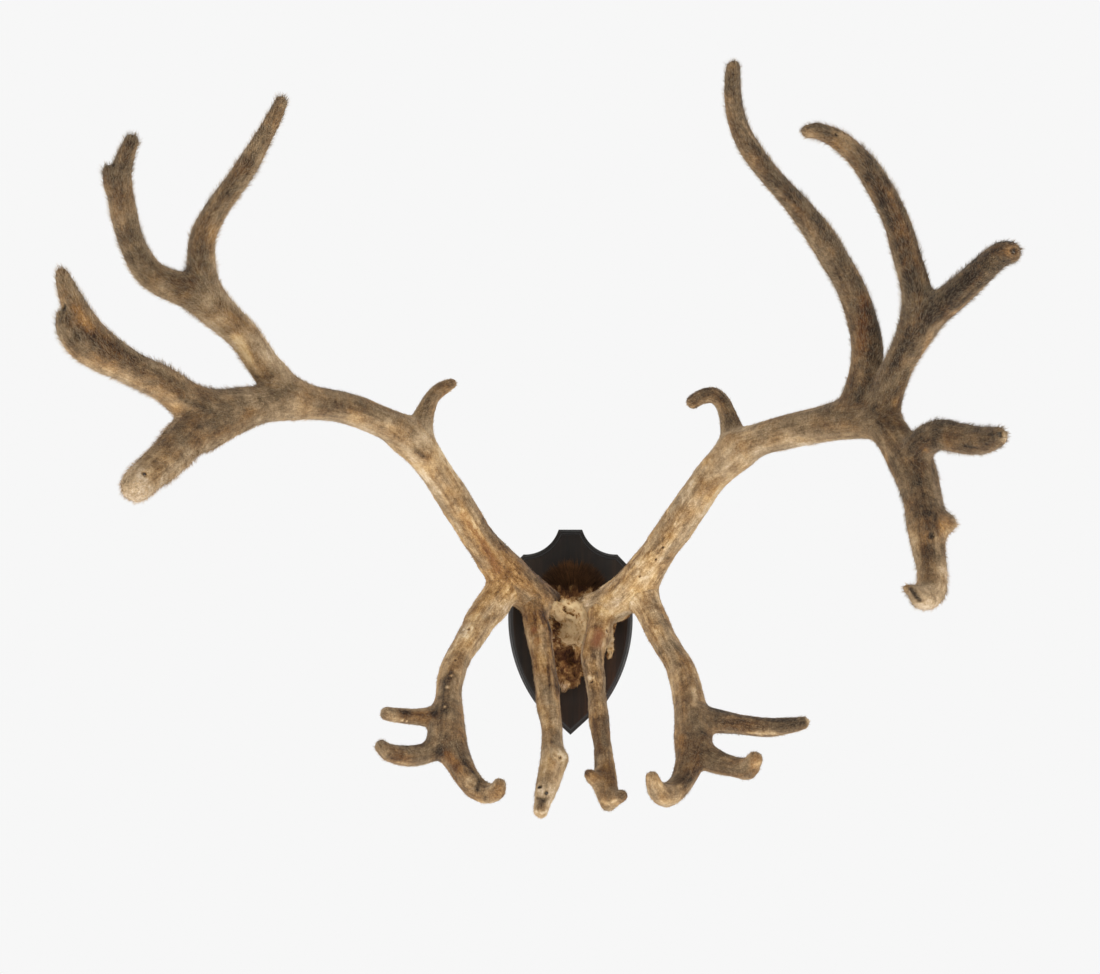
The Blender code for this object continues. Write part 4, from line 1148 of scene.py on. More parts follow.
def beside_antlers(places):
    """Distance to the nearer antler's skin, and the velvet's tone and way there."""
    sides = [velvet_field(places, limbs) for limbs in (left_limbs, right_limbs)]
    nearer = sides[0]["gap"] < sides[1]["gap"]
    return {"gap": np.where(nearer, sides[0]["gap"], sides[1]["gap"]),
            "tone": np.where(nearer, sides[0]["tone"], sides[1]["tone"]),
            "way": np.where(nearer[:, None], sides[0]["way"], sides[1]["way"])}


def in_slits(places):
    """1 in the slits of the brow and less beside them."""
    return sum(fading(places, route, SLIT_RADIUS) for route in HIDE_SLITS)


def hide_values(places):
    """Tone, gold, hair length and direction on the hide. The brow is pale and speckled, palest on its lower
    half, with a painted highlight where it bulges and painted shade where it is sunk and at its lower left.
    The hollow below it is dark with painted shade, the flap golden brown with a pale fringe, the crest brown,
    and the torn edge dark with a pale strip. Each part is a product of soft steps along the axes."""
    x, y, z = places.T
    flap = 1 - smooth_step(z, -52, -34)
    fringe = (1 - smooth_step(z, -73, -62)) * (1 - smooth_step(x, -6, 2))
    crest = smooth_step(z, 43, 56)
    torn = smooth_step(x, 46, 54) * (1 - smooth_step(z, 30, 44))
    # The hollow under the brow is darkened below as painted shade
    hollow = smooth_step(z, -52, -34) * (1 - smooth_step(z, -26, -7)) * (1 - torn)
    strip = torn * (1 - smooth_step(np.abs(-y - 92), 8, 14))
    brow = (1 - crest) * smooth_step(z, -16, -8) * (1 - torn)
    # Where the brow is sunk back it gets painted shade, and more gold
    sunk = smooth_step(y, -98, -89) * brow
    tone = 0.24 + 0.12 * rough_noise(places / 13, 51) + 0.22 * rough_noise(places / 5, 54)
    # The sunk and hollow terms are painted shade; flap, fringe and crest are the hide's own colour
    tone = tone - 0.15 * brow + 0.8 * sunk + 0.85 * hollow + 0.6 * flap - 0.6 * fringe + 0.66 * crest
    # Painted highlight where the brow bulges furthest; the torn edge and its strip are the hide's own colour
    tone = tone - 0.12 * brow * smooth_step(-y, 101, 106) + 0.75 * torn - 0.6 * strip
    # Painted shade at the lower left of the brow, beside the left brow tine
    tone = tone + 0.3 * brow * smooth_step(-x, 9, 22) * (1 - smooth_step(z, 14, 24))
    tone = tone - 0.15 * brow * (1 - smooth_step(z, 22, 34))
    tone = tone + 1.1 * brow * rough_noise(places / (2.6, 2.6, 4.0), 58)
    gold = 1.25 + 0.5 * rough_noise(places / 11, 55) + 0.5 * (flap + hollow + crest)
    gold = gold - 1.2 * fringe - 0.5 * torn + 0.35 * brow + 1.2 * sunk
    nap = 4.2 * brow + 5.0 * hollow + 6.5 * flap + 8.0 * crest + 2.0 * torn
    onward = np.column_stack([0.012 * x, np.full(len(x), -0.2), -0.9 + 2.0 * crest])
    swirl = unit(np.cross(places - SWIRL_MIDDLE, (0, -1, 0)))
    onward = onward + swirl * brow[:, None]
    return {"tone": tone, "gold": gold, "nap": nap, "way": unit(onward)}


def make_hide():
    """The hide's skin: relaxed, drawn up by DRAWN_UP * exp(-gap / DRAWN_WIDTH) towards the antlers, then
    creased and slit along its normals, with its back kept flat on the shield. Painted shade darkens it in the
    slits and in the hollows, where the same skin would rise if it were relaxed again."""
    shapes = [skull_dome()] + [rope(stations) for stations in HIDE_FOLDS]
    shapes += [rope(stations, STRIP_FLATNESS) for stations in TORN_STRIPS]
    places, quads = voxel_skin(shapes, HIDE_VOXEL)
    places = relax(places, quads, DRYING_ROUNDS)
    free = smooth_step(-places[:, 1], HIDE_BACK + 1, HIDE_BACK + 8)
    outward = point_normals(places, quads)
    climb = np.exp(-np.maximum(beside_antlers(places)["gap"], 0) / DRAWN_WIDTH)
    places = places + outward * (DRAWN_UP * climb * free)[:, None]
    creases = CREASE_HEIGHT * (0.32 - np.abs(rough_noise(places / (12, 12, 9), 61)))
    creases = creases + LUMP_HEIGHT * rough_noise(places / 5, 64)
    creases = creases - SLIT_DEPTH * in_slits(places)
    places = places + point_normals(places, quads) * (creases * free)[:, None]
    places[:, 1] = np.minimum(places[:, 1], -HIDE_BACK)
    beside = beside_antlers(places)
    climb = np.exp(-np.maximum(beside["gap"], 0) / DRAWN_WIDTH) * VELVET_SHARE
    rise = relax(places, quads, DRYING_ROUNDS) - places
    hollowness = np.clip((rise * point_normals(places, quads)).sum(axis=1), -0.6, 1.2)
    values = hide_values(places)
    # Painted shade in the slits and hollows
    tone = values["tone"] * (1 - climb) + beside["tone"] * climb + SLIT_SHADE * in_slits(places)
    values["tone"] = np.clip(tone + HOLLOW_SHADE * hollowness, -0.1, 1.1)
    values["nap"] = values["nap"] * (1 - 0.5 * climb)
    values["worn"] = 0.6 * smooth_step(places[:, 2], -14, -6) * (1 - smooth_step(places[:, 2], 40, 50))
    values["way"] = unit(values["way"] * (1 - climb)[:, None] + beside["way"] * climb[:, None])
    values["grain"] = places[:, [2, 0, 1]]
    values["bare"] = HIDE_REDNESS * (1 + rough_noise(places / 9, 67))
    mesh = fill_mesh("skull_hide", places, quads)
    for key, kept in velvet_marks(values).items():
        set_values(mesh, key, kept)
    print("skull_hide", len(quads) * 2, "triangles")
    return {"places": places, "quads": quads, "mesh": mesh, **values}


def make_hide_finish():
    """Dry, woolly skin: the colour that the velvet is mixed with, over pores of two sizes."""
    material, tree, shader = new_finish("dried_hide", 0.85, Specular_IOR_Level=0.2)
    paint(tree, shader, velvet_colour(tree, False))
    place = object_place(tree)
    relief = sum_of(tree, noise(tree, place, 260, 4, 0.6), (noise(tree, place, 900, 3), 0.6))
    bump(tree, shader, relief, 0.9, 1.3)
    return material


hide = make_hide()
place_piece("skull_hide", hide["mesh"], make_hide_finish(), ["scalp"])

# %% [markdown]
# ## Wool on the brow and the flap
#
# The hide's hair is longer than the velvet's and clings together in locks. Straight spikes would look like
# bristles. So the hairs start all over the hide, but each one leans towards the tip of the lock that is
# nearest to its root, and bends a little on its way.

# %% Wool in locks
WOOL_HAIRS = 15000
WOOL_LOCKS = 1000
WOOL_POINTS = 3
WOOL_BATCH = 1000
LOCK_CLOSENESS = 0.65
WOOL_CURL = 0.9
WOOL_ROOT_DEPTH = 0.4


def lock_paths(root, tips, rng):
    """Bent paths from each root towards a tip: root + lean * t, drawn to the tip by LOCK_CLOSENESS * t
    squared, and swung sideways by WOOL_CURL * t * (sin(5 t + phase) - sin(phase)), with a random phase."""
    t = np.linspace(0, 1, WOOL_POINTS)[None, :, None]
    start = root["places"][:, None]
    lean = (root["lean"] * root["length"][:, None])[:, None]
    pull = LOCK_CLOSENESS * (tips[:, None] - start - lean)
    swing = unit(np.cross(root["lean"], root["normal"]))[:, None] * WOOL_CURL
    phase = rng.uniform(0, 2 * math.pi, len(tips))[:, None, None]
    return start + lean * t + pull * t ** 2 + swing * (np.sin(5 * t + phase) - np.sin(phase)) * t


def comb_wool():
    """The hide's hairs, gathered into locks."""
    rng = np.random.default_rng(71)
    keep = smooth_step(-hide["places"][:, 1], HIDE_BACK + 3, HIDE_BACK + 12)
    root = strew(hide, WOOL_HAIRS, rng, keep)
    centre = strew(hide, WOOL_LOCKS, rng, keep)
    nearest = np.concatenate([((batch[:, None] - centre["places"]) ** 2).sum(axis=2).argmin(axis=1)
                              for batch in np.split(root["places"], WOOL_HAIRS // WOOL_BATCH)])
    lift = root["normal"] * rng.uniform(0.35, 0.8, WOOL_HAIRS)[:, None]
    root["lean"] = unit(root["way"] + lift + 0.3 * rng.standard_normal((WOOL_HAIRS, 3)))
    root["length"] = root["nap"] * rng.uniform(0.8, 1.5, WOOL_HAIRS)
    lock_lean = unit(centre["way"] + 0.5 * centre["normal"] + 0.35 * rng.standard_normal((WOOL_LOCKS, 3)))
    tips = (centre["places"] + lock_lean * (1.15 * centre["nap"])[:, None])[nearest]
    root["places"] = root["places"] - root["normal"] * WOOL_ROOT_DEPTH
    paths = lock_paths(root, tips, rng)
    paths[..., 1] = np.minimum(paths[..., 1], -HIDE_BACK)
    widths = rng.uniform(0.4, 0.75, WOOL_HAIRS)
    shade = 0.5 + 1.3 * (rng.random(WOOL_LOCKS)[nearest] - 0.5) + 0.6 * (rng.random(WOOL_HAIRS) - 0.5)
    mesh = hair_mesh("hide_wool", paths, widths, root["normal"], strand=shade, **velvet_marks(root))
    place_piece("hide_wool", mesh, hide_hair, smooth=False)
    print("hide_wool", len(mesh.polygons), "triangles")


comb_wool()

# %% [markdown]
# ## The crown hair
#
# Behind the antlers a fan of long, dark hair stands up from the crown of the head. It is nearly black at its
# sides, brown in its middle, and stands up less towards the front. Hairs alone would have to be many more to
# hide the board behind them, so a dark pad lies under them.

# %% A fan of long hairs
CROWN_MIDDLE = np.array([4.0, 46.0])
CROWN_REACH = 61.0
CROWN_SPREAD = math.radians(86)
CROWN_DEPTH = 40.0
CROWN_HAIRS = 5200
CROWN_LOCKS = 150
# No hair starts further to the side or further forward than this, in radians
WIDEST_ANGLE = 1.53
STEEPEST_TILT = 1.5
PAD_SHARE = 0.6
PAD_RINGS = 40
PAD_POINTS = 10
PAD_TONE = 0.3
CROWN_COLOURS = [(0.0, (36, 25, 17)), (0.35, (78, 54, 36)), (0.7, (126, 88, 56)), (1.0, (170, 126, 84))]


def make_crown_finish():
    """From nearly black to brown by the tone of each hair, its own chance and the way to its tip."""
    material, tree, shader = new_finish("crown_hair", 0.7, Specular_IOR_Level=0.12)
    shade = sum_of(tree, stored(tree, "tone"), (stored(tree, "strand"), 0.6), (stored(tree, "reach"), 0.2))
    paint(tree, shader, ramp(tree, shade, CROWN_COLOURS))
    return material


def fan_place(angle, reach, depth):
    """A place in the fan: reach from its middle at an angle from straight up, and a depth off the shield."""
    angle, reach, depth = np.broadcast_arrays(angle, reach, depth)
    return np.stack([CROWN_MIDDLE[0] + reach * np.sin(angle), -(HIDE_BACK + depth),
                     CROWN_MIDDLE[1] + reach * np.cos(angle)], axis=-1)


def make_crown_pad(material):
    """The pad: for each angle of the fan a rounded profile, reach * cos(b) outwards and depth * sin(b)
    forwards."""
    angle = np.linspace(-CROWN_SPREAD, CROWN_SPREAD, PAD_RINGS)[:, None]
    b = np.linspace(0, math.pi / 2, PAD_POINTS)[None, :]
    front = fan_place(angle, PAD_SHARE * CROWN_REACH * np.cos(b), 2 + PAD_SHARE * CROWN_DEPTH * np.sin(b))
    back = fan_place(angle, 4.0, 1.0)
    rings = np.concatenate([front, back], axis=1)[:, ::-1]
    ends = [rings[0].mean(axis=0), rings[-1].mean(axis=0)]
    faces = tube_faces(PAD_RINGS, PAD_POINTS + 1)
    mesh = fill_mesh("crown_pad", np.vstack([rings.reshape(-1, 3), ends]), faces)
    set_values(mesh, "tone", np.full(len(mesh.vertices), PAD_TONE))
    place_piece("crown_pad", mesh, material)


def comb_crown(material):
    """The fan's hairs. Each starts just under the pad's face at an angle of the fan and a tilt forwards, and
    ends on the same kind of profile at full reach, drawn to the tip of its lock. It bends forwards on its
    way: root (1 - t)^2 + 2 bend t (1 - t) + tip t^2."""
    rng = np.random.default_rng(81)
    lock_angle = rng.uniform(-1, 1, CROWN_LOCKS) * CROWN_SPREAD
    lock_tilt = rng.uniform(0, 1, CROWN_LOCKS) ** 1.2 * math.pi / 2
    lock_reach = rng.uniform(0.86, 1.0, CROWN_LOCKS)
    lock_shade = rng.random(CROWN_LOCKS)
    lock = rng.integers(0, CROWN_LOCKS, CROWN_HAIRS)
    angle = lock_angle[lock] + 0.2 * rng.standard_normal(CROWN_HAIRS)
    angle = np.clip(angle, -WIDEST_ANGLE, WIDEST_ANGLE)
    tilt = np.clip(lock_tilt[lock] + 0.2 * rng.standard_normal(CROWN_HAIRS), 0, STEEPEST_TILT)
    under = PAD_SHARE - 0.04
    root = fan_place(angle, under * CROWN_REACH * np.cos(tilt), 1.5 + under * CROWN_DEPTH * np.sin(tilt))
    reach = CROWN_REACH * lock_reach[lock] * rng.uniform(0.86, 1.02, CROWN_HAIRS)
    tip_angle = np.clip(0.25 * lock_angle[lock] + 0.75 * angle, -CROWN_SPREAD, CROWN_SPREAD)
    tip_tilt = 0.3 * lock_tilt[lock] + 0.7 * tilt
    tip = fan_place(tip_angle, reach * np.cos(tip_tilt) ** 0.8, 3 + 0.92 * CROWN_DEPTH * np.sin(tip_tilt))
    tip[:, 2] += 7 * np.sin(tip_tilt)
    bend = (root + tip) / 2 + np.array([0, -1, 0.4]) * rng.uniform(0.5, 4, CROWN_HAIRS)[:, None]
    t = np.linspace(0, 1, 4)[None, :, None]
    paths = root[:, None] * (1 - t) ** 2 + 2 * bend[:, None] * t * (1 - t) + tip[:, None] * t ** 2
    paths[..., 1] = np.minimum(paths[..., 1], -HIDE_BACK)
    normals = np.tile([0.0, -1.0, 0.0], (CROWN_HAIRS, 1))
    middle = 1 - np.abs(angle) / CROWN_SPREAD
    tone = 0.06 + 0.14 * np.sin(tilt) + 0.3 * middle
    strand = 0.5 * rng.random(CROWN_HAIRS) + 0.5 * lock_shade[lock]
    mesh = hair_mesh("crown_hair_strands", paths, rng.uniform(0.6, 1.1, CROWN_HAIRS), normals, tone=tone,
                     strand=strand)
    place_piece("crown_hair_strands", mesh, material, ["crown_hair"], smooth=False)
    print("crown_hair_strands", len(mesh.polygons), "triangles")


crown_finish = make_crown_finish()
make_crown_pad(crown_finish)
comb_crown(crown_finish)

# %% [markdown]
# ## The shield
#
# The shield is a board about as thick as a thumb, sawn to a heraldic outline, run round with a moulding
# cutter, stained nearly black and varnished. Bevelling a plain board would round the edge, but give no hollow
# with a step. The edge has the same section everywhere, so it is made as a joiner makes it: one section,
# carried round the outline. At a corner the section is drawn out along the line that halves the angle, as a
# mitre does.

# %% Outline and edge of the shield
SHIELD_THICKNESS = 22.0
SHIELD_TOP = 144.0
SHIELD_HALF_WIDTH = 87.5
WIDEST_AT = 20.0
TAB_HALF_WIDTH = 16.5
HOLLOW_CENTRE = (64.0, 158.5)
HOLLOW_RADIUS = 49.5
SHOULDER_HALF_WIDTH = 66.0
CLIPPED_CORNER = (80.0, 94.5)
SIDE_ARC_RADIUS = 206.0
SIDE_ENDS_AT = -98.0
MOULDING_WIDTH = 7.5
# The hollow of the moulding: where it starts and how wide and high it is
COVE_INSET = 0.9
COVE_TOP = 20.6
COVE_WIDTH = 5.0
COVE_HEIGHT = 5.9


def arc(centre, radius, start, end, count):
    """Points of a circle: centre + radius * (cos a, sin a), from one angle to another."""
    a = np.linspace(start, end, count)
    return np.column_stack([centre[0] + radius * np.cos(a), centre[1] + radius * np.sin(a)])


def shield_outline():
    """The whole outline in X and Z, clockwise as seen from the front: tab, hollow, shoulder, two side arcs
    and the foot, and the same mirrored. The hollow has no points close to its two corners, where the mitre
    would fold the moulding over itself."""
    leave = -math.pi + math.asin((HOLLOW_CENTRE[1] - SHIELD_TOP) / HOLLOW_RADIUS)
    tab_corner = [(TAB_HALF_WIDTH, SHIELD_TOP)]
    hollow = arc(HOLLOW_CENTRE, HOLLOW_RADIUS, leave, -math.pi / 2, 26)[3:-1]
    shoulder = [(SHOULDER_HALF_WIDTH, HOLLOW_CENTRE[1] - HOLLOW_RADIUS)]
    rise = CLIPPED_CORNER[1] - WIDEST_AT
    inset = SHIELD_HALF_WIDTH - CLIPPED_CORNER[0]
    radius = (rise ** 2 + inset ** 2) / (2 * inset)
    upper = arc((SHIELD_HALF_WIDTH - radius, WIDEST_AT), radius, math.asin(rise / radius), 0, 14)
    fall = math.asin((SIDE_ENDS_AT - WIDEST_AT) / SIDE_ARC_RADIUS)
    lower = arc((SHIELD_HALF_WIDTH - SIDE_ARC_RADIUS, WIDEST_AT), SIDE_ARC_RADIUS, 0, fall, 36)[1:]
    right = np.vstack([tab_corner, hollow, shoulder, upper, lower])
    return np.vstack([right, [(0, -SHIELD_TOP)], right[::-1] * (-1, 1)])


def moulding_section():
    """Inset and stand-off from the back to the face: the sawn side with its rounded edge, a hollow of a
    quarter of an ellipse, and a small bevel up to the face."""
    a = np.linspace(0, math.pi / 2, 9)
    hollow = np.column_stack([COVE_INSET + COVE_WIDTH * np.sin(a), COVE_TOP - COVE_HEIGHT * np.cos(a)])
    side = [(0.6, 0), (0.1, 0.4), (0, 0.9), (0, 13.5), (0.25, 14.3)]
    return np.vstack([side, hollow, [(MOULDING_WIDTH, SHIELD_THICKNESS)]])


def run_round(outline, section):
    """A closed solid: each point of the outline moves in by the section's inset along the mitre
    (n1 + n2) / (1 + n1 . n2) of the two edges' inward normals, and stands off by the section's second
    value."""
    before = unit(outline - np.roll(outline, 1, axis=0))
    after = unit(np.roll(outline, -1, axis=0) - outline)
    inward = [np.column_stack([edge[:, 1], -edge[:, 0]]) for edge in (before, after)]
    mitre = (inward[0] + inward[1]) / (1 + (inward[0] * inward[1]).sum(axis=1, keepdims=True))
    rings = outline + np.asarray(section)[:, None, :1] * mitre
    depth = np.broadcast_to(-np.asarray(section)[:, 1, None, None], rings.shape[:2] + (1,))
    places = np.concatenate([rings[..., :1], depth, rings[..., 1:]], axis=2).reshape(-1, 3)
    count = len(outline)
    here = np.arange(count)
    onward = (here + 1) % count
    starts = np.arange(len(section) - 1)[:, None] * count
    walls = np.stack([starts + here, starts + count + here, starts + count + onward, starts + onward], axis=2)
    front = (len(section) - 1) * count + here[::-1]
    faces = [*walls.reshape(-1, 4).tolist(), here.tolist(), front.tolist()]
    mesh = bpy.data.meshes.new("run_round")
    mesh.from_pydata((places * MM).tolist(), [], faces)
    return mesh


print("outline points:", len(shield_outline()))

# %% [markdown]
# ## The back of the board
#
# A steel keyhole plate is let into the back over a pocket for the nail's head, and two long screws hold the
# skull. The cuts could be modelled into the flat face by hand. It is quicker to run sections round small
# outlines as before, and to take these solids out of the board one by one.

# %% Cuts in the back
PLATE_CENTRE_Z = 104.0
# Length, width and depth
PLATE_RECESS = (46.6, 18.6, 2.2)
NAIL_POCKET = (24.0, 11.0, 10.0)
# Height, radius of the head and of the bore, how deep the head is sunk, and depth
PLATE_SCREWS = [(PLATE_CENTRE_Z + offset, 3.5, 1.8, 0.3, 12.6) for offset in (17, -17)]
SKULL_SCREWS = [(height, 5.3, 2.8, 1.0, 30.0) for height in (40, -24)]
HEAD_ROOM = 0.6
CUT_START = -3
SCREW_SIDES = 32


def stadium(length, width, centre_z):
    """An upright slot with round ends, clockwise."""
    offset = (length - width) / 2
    top = arc((0, centre_z + offset), width / 2, math.pi, 0, 16)
    return np.vstack([top, arc((0, centre_z - offset), width / 2, 0, -math.pi, 16)])


def slot_cut(length, width, depth):
    """A straight pocket for the plate or for the nail's head."""
    return run_round(stadium(length, width, PLATE_CENTRE_Z), [(0, CUT_START), (0, depth)])


def screw_cut(height, head, bore, sunk, depth):
    """A countersunk hole: a short cylinder, a cone that narrows as fast as it deepens, and the bore."""
    narrowing = head - bore
    cone = sunk + HEAD_ROOM
    section = [(0, CUT_START), (0, cone), (narrowing, cone + narrowing), (narrowing, depth)]
    return run_round(arc((0, height), head, 2 * math.pi, 0, SCREW_SIDES + 1)[:-1], section)


def cut_out(mesh, cuts):
    """The mesh with each cut taken out of it."""
    board = add_object("board", mesh)
    cutters = [add_object("cut", cut) for cut in cuts]
    for cutter in cutters:
        modifier = board.modifiers.new("Cut", "BOOLEAN")
        modifier.operation = "DIFFERENCE"
        modifier.object = cutter
    done = bpy.data.meshes.new_from_object(board.evaluated_get(bpy.context.evaluated_depsgraph_get()))
    for used in (board, *cutters):
        bpy.data.objects.remove(used)
    return done


DARK_STAIN = [(0.25, (15, 10, 6)), (0.55, (32, 22, 13)), (0.85, (56, 40, 24))]
RED_STAIN = [(0.25, (18, 9, 5)), (0.55, (38, 20, 10)), (0.85, (64, 36, 18))]
THIN_COAT = [(0.25, (50, 35, 24)), (0.55, (84, 60, 41)), (0.85, (124, 94, 66))]
MOULDING_GREY = seen(34, 32, 30)
# From where to where the stain changes below the face and at the back, as Y in metres
FACE_FADES = (-0.0218, -0.0212)
BACK_FADES = (-0.0006, -0.0001)


def make_stained_wood():
    """Straight grain up the board under a dark stain, redder where the stain took less, with a satin
    varnish. The moulding, which lies lower than the face, is greyer. The back has one thin coat."""
    material, tree, shader = new_finish("stained_wood", 0.4, Specular_IOR_Level=0.3)
    place = object_place(tree)
    figure = noise(tree, stretched(tree, place, (110, 30, 7)), 1.0, 4)
    pores = noise(tree, stretched(tree, place, (1100, 300, 45)), 1.0, 3, 0.6)
    shade = sum_of(tree, figure, (pores, 0.5))
    stain, redder, thin = (ramp(tree, shade, coat) for coat in (DARK_STAIN, RED_STAIN, THIN_COAT))
    apart = add_node(tree, "SeparateXYZ", {0: place})
    low = mapped(tree, apart.outputs["Z"], (0.03, -0.10))
    right = mapped(tree, apart.outputs["X"], (-0.05, 0.06))
    patchy = noise(tree, stretched(tree, place, (40, 20, 14)), 1.0, 3)
    colour = mixed(tree, sum_of(tree, product(tree, low, right), (patchy, 0.7)), stain, redder)
    below_face = mapped(tree, apart.outputs["Y"], FACE_FADES)
    shown = mixed(tree, below_face, colour, mixed(tree, 0.7, colour, MOULDING_GREY))
    at_back = mapped(tree, apart.outputs["Y"], BACK_FADES)
    paint(tree, shader, mixed(tree, at_back, shown, thin))
    rough = mapped(tree, noise(tree, place, 45, 3), new=(0.3, 0.5))
    tree.links.new(rough, shader.inputs["Roughness"])
    bump(tree, shader, pores, 0.35, 0.12)
    return material


def make_shield():
    """The board with its moulding and its cuts."""
    cuts = [slot_cut(*PLATE_RECESS), slot_cut(*NAIL_POCKET)]
    cuts += [screw_cut(*sizes) for sizes in PLATE_SCREWS + SKULL_SCREWS]
    mesh = cut_out(run_round(shield_outline(), moulding_section()), cuts)
    mesh.name = "shield_board"
    place_piece("shield_board", mesh, make_stained_wood(), ["shield"])
    mesh.set_sharp_from_angle(angle=math.radians(28))
    print("shield_board", len(mesh.polygons), "faces")


make_shield()

# %% [markdown]
# ## Steel
#
# The hanger plate and the screws could be modelled again, but their solids already have the right shape, so
# they only get a finish. They are zinc-plated: bright, faintly blue, brushed along the plate and dulled in
# patches by handling.

# %% Zinc-plated hardware
HARDWARE = ["hanger_plate", "upper_hanger_screw", "lower_hanger_screw", "upper_skull_screw",
            "lower_skull_screw"]
ZINC = [(0.2, (132, 132, 134)), (0.55, (182, 184, 188)), (0.85, (212, 213, 216))]
OLD_STEEL = [(0.2, (58, 48, 40)), (0.55, (96, 88, 80)), (0.85, (134, 128, 120))]


def make_steel(name, tones):
    """Steel with fine upright brush lines and dull patches, which are darker and rougher."""
    material, tree, shader = new_finish(name, 0.35, Metallic=1.0)
    place = object_place(tree)
    brushed = noise(tree, stretched(tree, place, (2600, 900, 70)), 1.0, 3, 0.6)
    shade = sum_of(tree, noise(tree, place, 160, 4, 0.6), (brushed, 0.6))
    paint(tree, shader, ramp(tree, shade, tones))
    tree.links.new(mapped(tree, shade, new=(0.5, 0.26)), shader.inputs["Roughness"])
    bump(tree, shader, brushed, 0.3, 0.05)
    return material


zinc = make_steel("zinc_plated_steel", ZINC)
for name in HARDWARE:
    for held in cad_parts[name].material_slots:
        held.material = zinc
print("zinc on", {name: len(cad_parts[name].material_slots) for name in HARDWARE})

# %% [markdown]
# ## Small nails at the tips
#
# A few tips still hold the small round-headed nails with which the velvet was fixed while it dried. They sit
# in the holes that were pressed into the skin above. Each could be a cylinder with a sphere for its head.
# Here one profile is turned on all five axes in one array, and the nails are joined in one mesh.

# %% Nails in their holes
NAIL_PROFILE = np.array([(0.8, -6.0), (0.8, 0.0), (2.1, 0.1), (2.15, 0.5), (1.6, 1.0), (0.7, 1.3)])
NAIL_ENDS = np.array([-6.0, 1.35])
NAIL_SIDES = 14


def make_nails():
    """place = head + axis * height + radius * (side cos a + up sin a) for each nail, ring and angle."""
    heads = []
    for spot, _ in NAILED_HOLES:
        skin = left_skin if spot[0] < BETWEEN_ANTLERS else right_skin
        head = spot_on_skin(skin["places"], spot)
        at = np.linalg.norm(skin["places"] - head, axis=1).argmin()
        heads.append((head, unit(skin["outward"][at])))
    places, axes = np.array(heads).transpose(1, 0, 2)
    sides = unit(np.cross(axes, (0.3, 0.2, 1.0)))
    ups = np.cross(axes, sides)
    a = np.linspace(0, 2 * math.pi, NAIL_SIDES, endpoint=False)[None, None, :, None]
    radius, height = NAIL_PROFILE.T[..., None, None]
    around = sides[:, None, None] * np.cos(a) + ups[:, None, None] * np.sin(a)
    rings = places[:, None, None] + axes[:, None, None] * height + around * radius
    ends = places[:, None] + axes[:, None] * NAIL_ENDS[None, :, None]
    shells = np.concatenate([rings.reshape(len(heads), -1, 3), ends], axis=1)
    each = shells.shape[1]
    faces = tube_faces(len(NAIL_PROFILE), NAIL_SIDES)[None] + (np.arange(len(heads)) * each)[:, None, None]
    mesh = fill_mesh("tip_nails", shells.reshape(-1, 3), faces.reshape(-1, 3))
    place_piece("tip_nails", mesh, make_steel("dull_steel", OLD_STEEL))
    mesh.set_sharp_from_angle(angle=math.radians(50))


make_nails()
print("nails:", len(NAILED_HOLES))

# %% [markdown]
# ## Floor, light and camera view
#
# The photograph was lit by large soft lights from both sides in front of a white wall, so the middle of each
# limb is a little darker than its edges. The wall isn't part of the object, and as a backdrop it would hide
# the back of the mount. In its place the sky is white, and gives back as much light from behind as the wall
# did. A third, weaker light above in front opens the shadows round the skull. The pale floor lies so low that
# the photograph's view passes over it.

# %% Floor and light
FLOOR_DEPTH = 2.0
FLOOR_RADIUS = 4.5
FLOOR_SIDES = 96
SOFT_LIGHTS = [
    ("left_softbox", (-2.2, -2.0, -0.7), (0, -0.2, 0.25), 1.3, 58),
    ("right_softbox", (2.2, -1.9, -0.7), (0, -0.2, 0.25), 1.3, 53),
    ("front_softbox", (0.2, -3.0, 1.4), (0, -0.1, 0.1), 1.6, 31),
]
# How bright the sky is where it is seen, and as a light in front of the mount and behind it
SKY_SEEN = 0.93
SKY_IN_FRONT = 0.16
SKY_BEHIND = 0.9


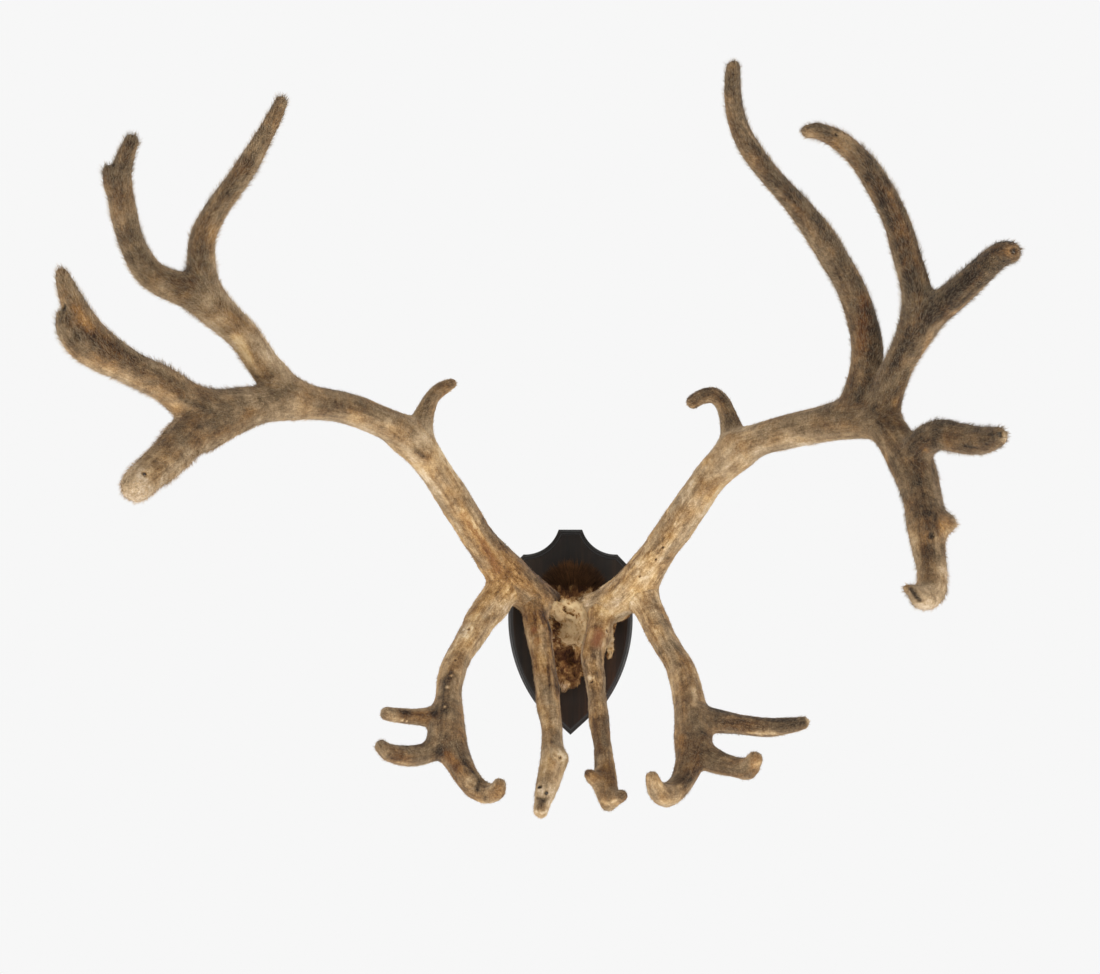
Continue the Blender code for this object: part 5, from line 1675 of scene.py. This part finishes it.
def make_floor():
    """A pale round floor that fades out towards its edge. It glows a little, so that it is evenly pale where
    the lights don't reach it, and takes little of their light, so that it isn't glaring below them."""
    rim = np.insert(arc((0, 0), FLOOR_RADIUS, 0, 2 * math.pi, FLOOR_SIDES + 1)[:-1], 2, -FLOOR_DEPTH, axis=1)
    mesh = bpy.data.meshes.new("floor")
    mesh.from_pydata(rim.tolist(), [], [list(range(FLOOR_SIDES))])
    floor = add_object("floor", mesh)
    material, tree, shader = new_finish("pale_floor", 0.8, Specular_IOR_Level=0.1, Emission_Strength=0.62)
    shader.inputs["Base Color"].default_value = seen(108, 108, 108)
    shader.inputs["Emission Color"].default_value = seen(255, 255, 255)
    flat = stretched(tree, object_place(tree), (1, 1, 0))
    distance = add_node(tree, "VectorMath", {0: flat}, operation="LENGTH").outputs["Value"]
    fade = mapped(tree, distance, (0.8 * FLOOR_RADIUS, 0.98 * FLOOR_RADIUS), (1.0, 0.0))
    tree.links.new(fade, shader.inputs["Alpha"])
    mesh.materials.append(material)


def make_soft_light(name, place, aim, size, power):
    """A large square light that faces a point: place, aim and size in metres, power in watts."""
    light = bpy.data.lights.new(name, "AREA")
    light.size = size
    light.energy = power
    lamp = add_object(name, light)
    lamp.location = place
    way = np.array(aim, float) - place
    across = math.hypot(way[0], way[1])
    lamp.rotation_euler = (math.pi / 2 + math.atan2(way[2], across), 0, math.atan2(-way[0], way[1]))
    lamp.visible_camera = False


def make_sky():
    """White where it is seen; as a light, bright behind the mount like the wall and dim in front."""
    world = bpy.data.worlds.new("white_room")
    bpy.context.scene.world = world
    world.use_nodes = True
    tree = world.node_tree
    way = add_node(tree, "TexCoord").outputs["Generated"]
    back = add_node(tree, "SeparateXYZ", {0: way}).outputs["Y"]
    glow = mapped(tree, back, (-0.5, 0.5), (SKY_IN_FRONT, SKY_BEHIND))
    ray = add_node(tree, "LightPath").outputs["Is Camera Ray"]
    strength = add_node(tree, "Mix", {"Factor": ray, "A": glow, "B": SKY_SEEN}).outputs["Result"]
    tree.links.new(strength, tree.nodes["Background"].inputs["Strength"])
    tree.nodes["Background"].inputs["Color"].default_value = (1, 1, 1, 1)


make_floor()
make_sky()
for soft_light in SOFT_LIGHTS:
    make_soft_light(*soft_light)
bpy.context.scene.view_settings.view_transform = "Standard"
